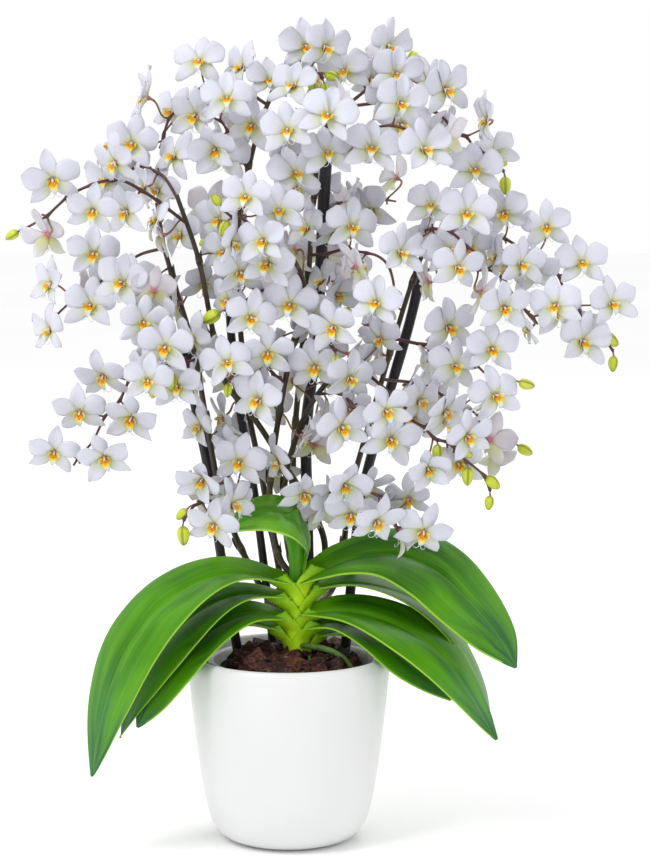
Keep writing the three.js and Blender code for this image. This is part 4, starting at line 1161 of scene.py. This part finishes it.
def sheath(bm, route, isYoung):
    # a leaf's base that clasps the stem: a collar that opens into the underside of its leaf
    size = sheathSizes
    slim = size["slim"] if isYoung else 1
    axis = Vector((stemSizes["x"], 0, 0))
    places = [routePoint(route, i / 200) for i in range(201)]
    meets = next((place for place in places if (place - axis).xy.length > size["meets"]), places[-1])
    aim = math.atan2(meets.y - axis.y, meets.x - axis.x)
    low, high = route[0].z - size["drop"], meets.z - size["under"]
    reach = (meets - axis).xy.length

    def shape(t, v):
        opening = smoothStep(clamp((t - size["opensFrom"]) / (1 - size["opensFrom"]))) ** 1.3
        wrap = math.radians(size["wrapLow"] + (size["wrapHigh"] - size["wrapLow"]) * smoothStep(t))
        closeness = math.cos(v * math.pi / 2) ** 0.8 if abs(v) < 1 else 0
        radius = slim * (size["radius"] + size["bulge"] * math.sin(math.pi * t))
        radius += (reach - radius) * opening * (size["edgeReach"] + (1 - size["edgeReach"]) * closeness)
        angle = aim + v * wrap
        rise = low + (high - low) * t ** 0.8 + size["edgeLift"] * abs(v) ** 1.6 * smoothStep(t)
        return axis + Vector((radius * math.cos(angle), radius * math.sin(angle), rise))

    sheet(bm, 12, 16, size["thickness"], int(isYoung), shape)


def stem():
    bm, size = newForm(), stemSizes
    outline = [(0, size["foot"])]
    for i in range(size["rings"] + 1):
        t = i / size["rings"]
        swell = size["ridge"] * abs(math.sin(math.pi * size["leafPairs"] * t)) ** 0.7
        blunt = 1 - 0.5 * clamp((t - size["bluntFrom"]) / (1 - size["bluntFrom"])) ** 2
        outline.append(((size["radius"] + swell) * blunt, size["foot"] + (size["top"] - size["foot"]) * t))
    outline.append((0, size["top"] + size["cap"]))
    lathe(bm, outline, size["sides"], centre=(size["x"], 0, 0))
    for blade in reversed(leaves.values()):
        sheath(bm, asRoute(blade["route"]), "young" in blade)
    finishPiece(bm, "shortStem", [stemFinish(), leafYoung], "stem")


rootSizes = {"rings": 20, "radius": 2.1, "taper": 0.25, "taperFrom": 15, "waver": 0.12, "sides": 10,
             "stubs": 8, "stubAngle": 2.4, "stubHeight": (132, 135), "stubReach": (6, 10), "stubOut": 6,
             "stubDrops": (1.5, 8), "stubRadii": [1.3, 1.3, 1.25, 1.2, 1.2, 1.1, 0.9]}


def root():
    bm, size = newForm(), rootSizes
    rings, start = size["rings"], size["taperFrom"]
    radii = [size["radius"] * (1 - size["taper"] * clamp((k - start) / (rings - start)))
             + size["waver"] * math.sin(2.1 * k) for k in range(rings + 1)]
    sweep(bm, evenPoints(asRoute(aerialRoot), rings), radii, size["sides"])
    for i in range(size["stubs"]):
        # short root stubs around the stem's foot, down into the bark
        angle = size["stubAngle"] * i + 0.6
        out = Vector((math.cos(angle), math.sin(angle), 0))
        reach = vary(i, 68, *size["stubReach"])
        foot = Vector((stemSizes["x"], 0, vary(i, 69, *size["stubHeight"]))) + out * size["stubOut"]
        middle, end = size["stubDrops"]
        bend = [foot, foot + out * reach * 0.6 - upward * middle, foot + out * reach - upward * end]
        sweep(bm, evenPoints(bend, len(size["stubRadii"]) - 1), size["stubRadii"], 8)
    finishPiece(bm, "aerialRootFine", [rootGreen], "aerial_root")


barkSizes = {"edge": 119, "crown": 129, "dome": 1.6, "under": 2, "rim": 53.4, "foot": 35.4, "base": 7.9,
             "shiftX": 3, "chips": 62, "size": (19.5, 12.5, 6.5), "rimRoom": 9.0, "grown": (0.65, 1.25),
             "height": (-1.2, 2.0), "tiltX": (-0.75, 0.75), "tiltY": (-0.65, 0.65), "wider": (0.8, 1.2),
             "deeper": (0.7, 1.2), "ragged": 2.2, "bevel": 0.7}


def barkLevel(radius):
    # the heap's height at a radius
    size = barkSizes
    return size["crown"] - (size["crown"] - size["edge"]) * (radius / size["rim"]) ** size["dome"]


def chip(bm, i):
    size = barkSizes
    radius = (size["rim"] - size["rimRoom"]) * math.sqrt((i + 0.5) / size["chips"])
    angle = i * math.pi * (3 - math.sqrt(5))  # the golden angle spreads them evenly
    grown = vary(i, 61, *size["grown"])
    place = Vector((radius * math.cos(angle), radius * math.sin(angle),
                    barkLevel(radius) + vary(i, 62, *size["height"])))
    turn = (Matrix.Rotation(vary(i, 63, 0, 2 * math.pi), 4, "Z")
            @ Matrix.Rotation(vary(i, 64, *size["tiltX"]), 4, "X")
            @ Matrix.Rotation(vary(i, 65, *size["tiltY"]), 4, "Y"))
    length, width, depth = size["size"]
    grow = Matrix.Diagonal((length * grown, width * grown * vary(i, 66, *size["wider"]),
                            depth * grown * vary(i, 67, *size["deeper"]), 1))
    corners = bmesh.ops.create_cube(bm, size=1, matrix=Matrix.Translation(place) @ turn @ grow)["verts"]
    for k, vert in enumerate(corners):
        ragged = Vector([draw(i, row + k) - 0.5 for row in (70, 80, 90)])
        vert.co += ragged * size["ragged"] * grown
    edges = list(dict.fromkeys(edge for vert in corners for edge in vert.link_edges))
    bmesh.ops.bevel(bm, geom=edges, offset=size["bevel"] * grown, offset_type="OFFSET", segments=1,
                    profile=0.5, affect="EDGES", material=-1)


def bark():
    bm, size = bmesh.new(), barkSizes
    heap = [(0, size["base"]), (size["foot"] - 2, size["base"]), (size["foot"] - 0.6, size["base"] + 3),
            (size["rim"], size["edge"] - size["under"])]
    rings = [size["rim"] * (1 - k / 8) for k in range(9)]
    heap += [(radius, barkLevel(radius) - size["under"]) for radius in rings]
    lathe(bm, heap, 40, material=1)
    for i in range(size["chips"]):
        chip(bm, i)
    bmesh.ops.translate(bm, vec=(size["shiftX"], 0, 0), verts=bm.verts)
    bmesh.ops.recalc_face_normals(bm, faces=bm.faces)
    finishPiece(bm, "barkChips", [barkBrown, humusDark], "bark_mix", isSmooth=False)


stem()
root()
bark()
print("stem, root and bark made")

# Pots, each turned from an outline of (radius, height)
coverPot = {"centre": (0, 0, 0), "sides": 144, "outline": [
    (0, 0), (35, 0), (39.5, 0.6), (43.8, 2.1), (47.6, 4.6), (50.8, 8.0), (53.3, 12.2), (55.3, 17.2),
    (57.0, 23.4), (58.9, 32), (61.3, 46), (63.6, 62), (65.8, 80), (67.8, 98), (69.2, 112), (69.9, 120.5),
    (70, 123.2), (69.6, 125.8), (68.8, 127.9), (67.6, 129.4), (66.4, 130), (65.3, 129.5), (64.6, 128.0),
    (64.3, 125.5), (63.4, 114), (61.8, 98), (58.4, 68), (54, 34), (52, 22), (49, 14), (45, 8.4),
    (40, 6), (0, 6)]}
nurseryPot = {"centre": (3, 0, 0), "sides": 96, "outline": [
    (0, 6.35), (34.6, 6.35), (36.2, 6.95), (37, 8.35), (56, 123), (58.2, 124.0), (59.0, 124.6),
    (59.0, 125.6), (58.6, 126), (56.2, 126), (55.1, 125.5), (54.8, 124.6), (35.8, 8.75), (34.2, 7.55),
    (0, 7.55)]}


def pot(name, size, finish, node):
    bm = bmesh.new()
    lathe(bm, size["outline"], size["sides"], centre=size["centre"])
    finishPiece(bm, name, [finish], node)


pot("ceramicCoverPot", coverPot, ceramicFinish(), "cover_pot")
pot("clearNurseryPot", nurseryPot, clearPlastic, "nursery_pot")
print("pots made")

# Floor, light and camera
studio = {"aim": (0.025, 0, 0.285), "distance": 1.9, "elevation": 7.5, "lens": 154, "world": 1.0,
          "floor": 6, "lampAim": (0, 0, 0.3),
          "lamps": (("softboxLeft", (-0.9, -0.9, 1.8), 0.6, 13), ("softboxBack", (0.6, 1.4, 1.5), 0.8, 7))}


def stageAndLight():
    bm = bmesh.new()
    bmesh.ops.create_grid(bm, x_segments=4, y_segments=4, size=studio["floor"])
    mesh = shapeMesh(bm, "paleFloor")
    mesh.materials.append(floorFinish())
    floor = bpy.data.objects.new("paleFloor", mesh)
    bpy.context.scene.collection.objects.link(floor)
    world = bpy.data.worlds.new("studioWhite")
    bpy.context.scene.world = world
    world.use_nodes = True
    background = world.node_tree.nodes["Background"].inputs
    background["Color"].default_value = (1, 1, 1, 1)
    background["Strength"].default_value = studio["world"]
    for name, place, size, power in studio["lamps"]:
        lamp = bpy.data.lights.new(name, "AREA")
        lamp.size = size
        lamp.energy = power
        light = bpy.data.objects.new(name, lamp)
        light.location = place
        aim = Vector(studio["lampAim"]) - Vector(place)
        light.rotation_euler = aim.to_track_quat("-Z", "Y").to_euler()
        bpy.context.scene.collection.objects.link(light)


def camera():
    lens = bpy.data.cameras.new("viewer")
    lens.lens = studio["lens"]
    lens.sensor_fit = "HORIZONTAL"
    lens.sensor_width = 36
    viewer = bpy.data.objects.new("viewer", lens)
    tilt = math.radians(studio["elevation"])
    aim = Vector(studio["aim"])
    back = Vector((0, -math.cos(tilt), math.sin(tilt)))
    viewer.location = aim + back * studio["distance"]
    viewer.rotation_euler = (-back).to_track_quat("-Z", "Y").to_euler()
    bpy.context.scene.collection.objects.link(viewer)
    bpy.context.scene.camera = viewer
    bpy.context.scene.view_settings.view_transform = "Standard"


stageAndLight()
camera()
print("floor, light and camera set")
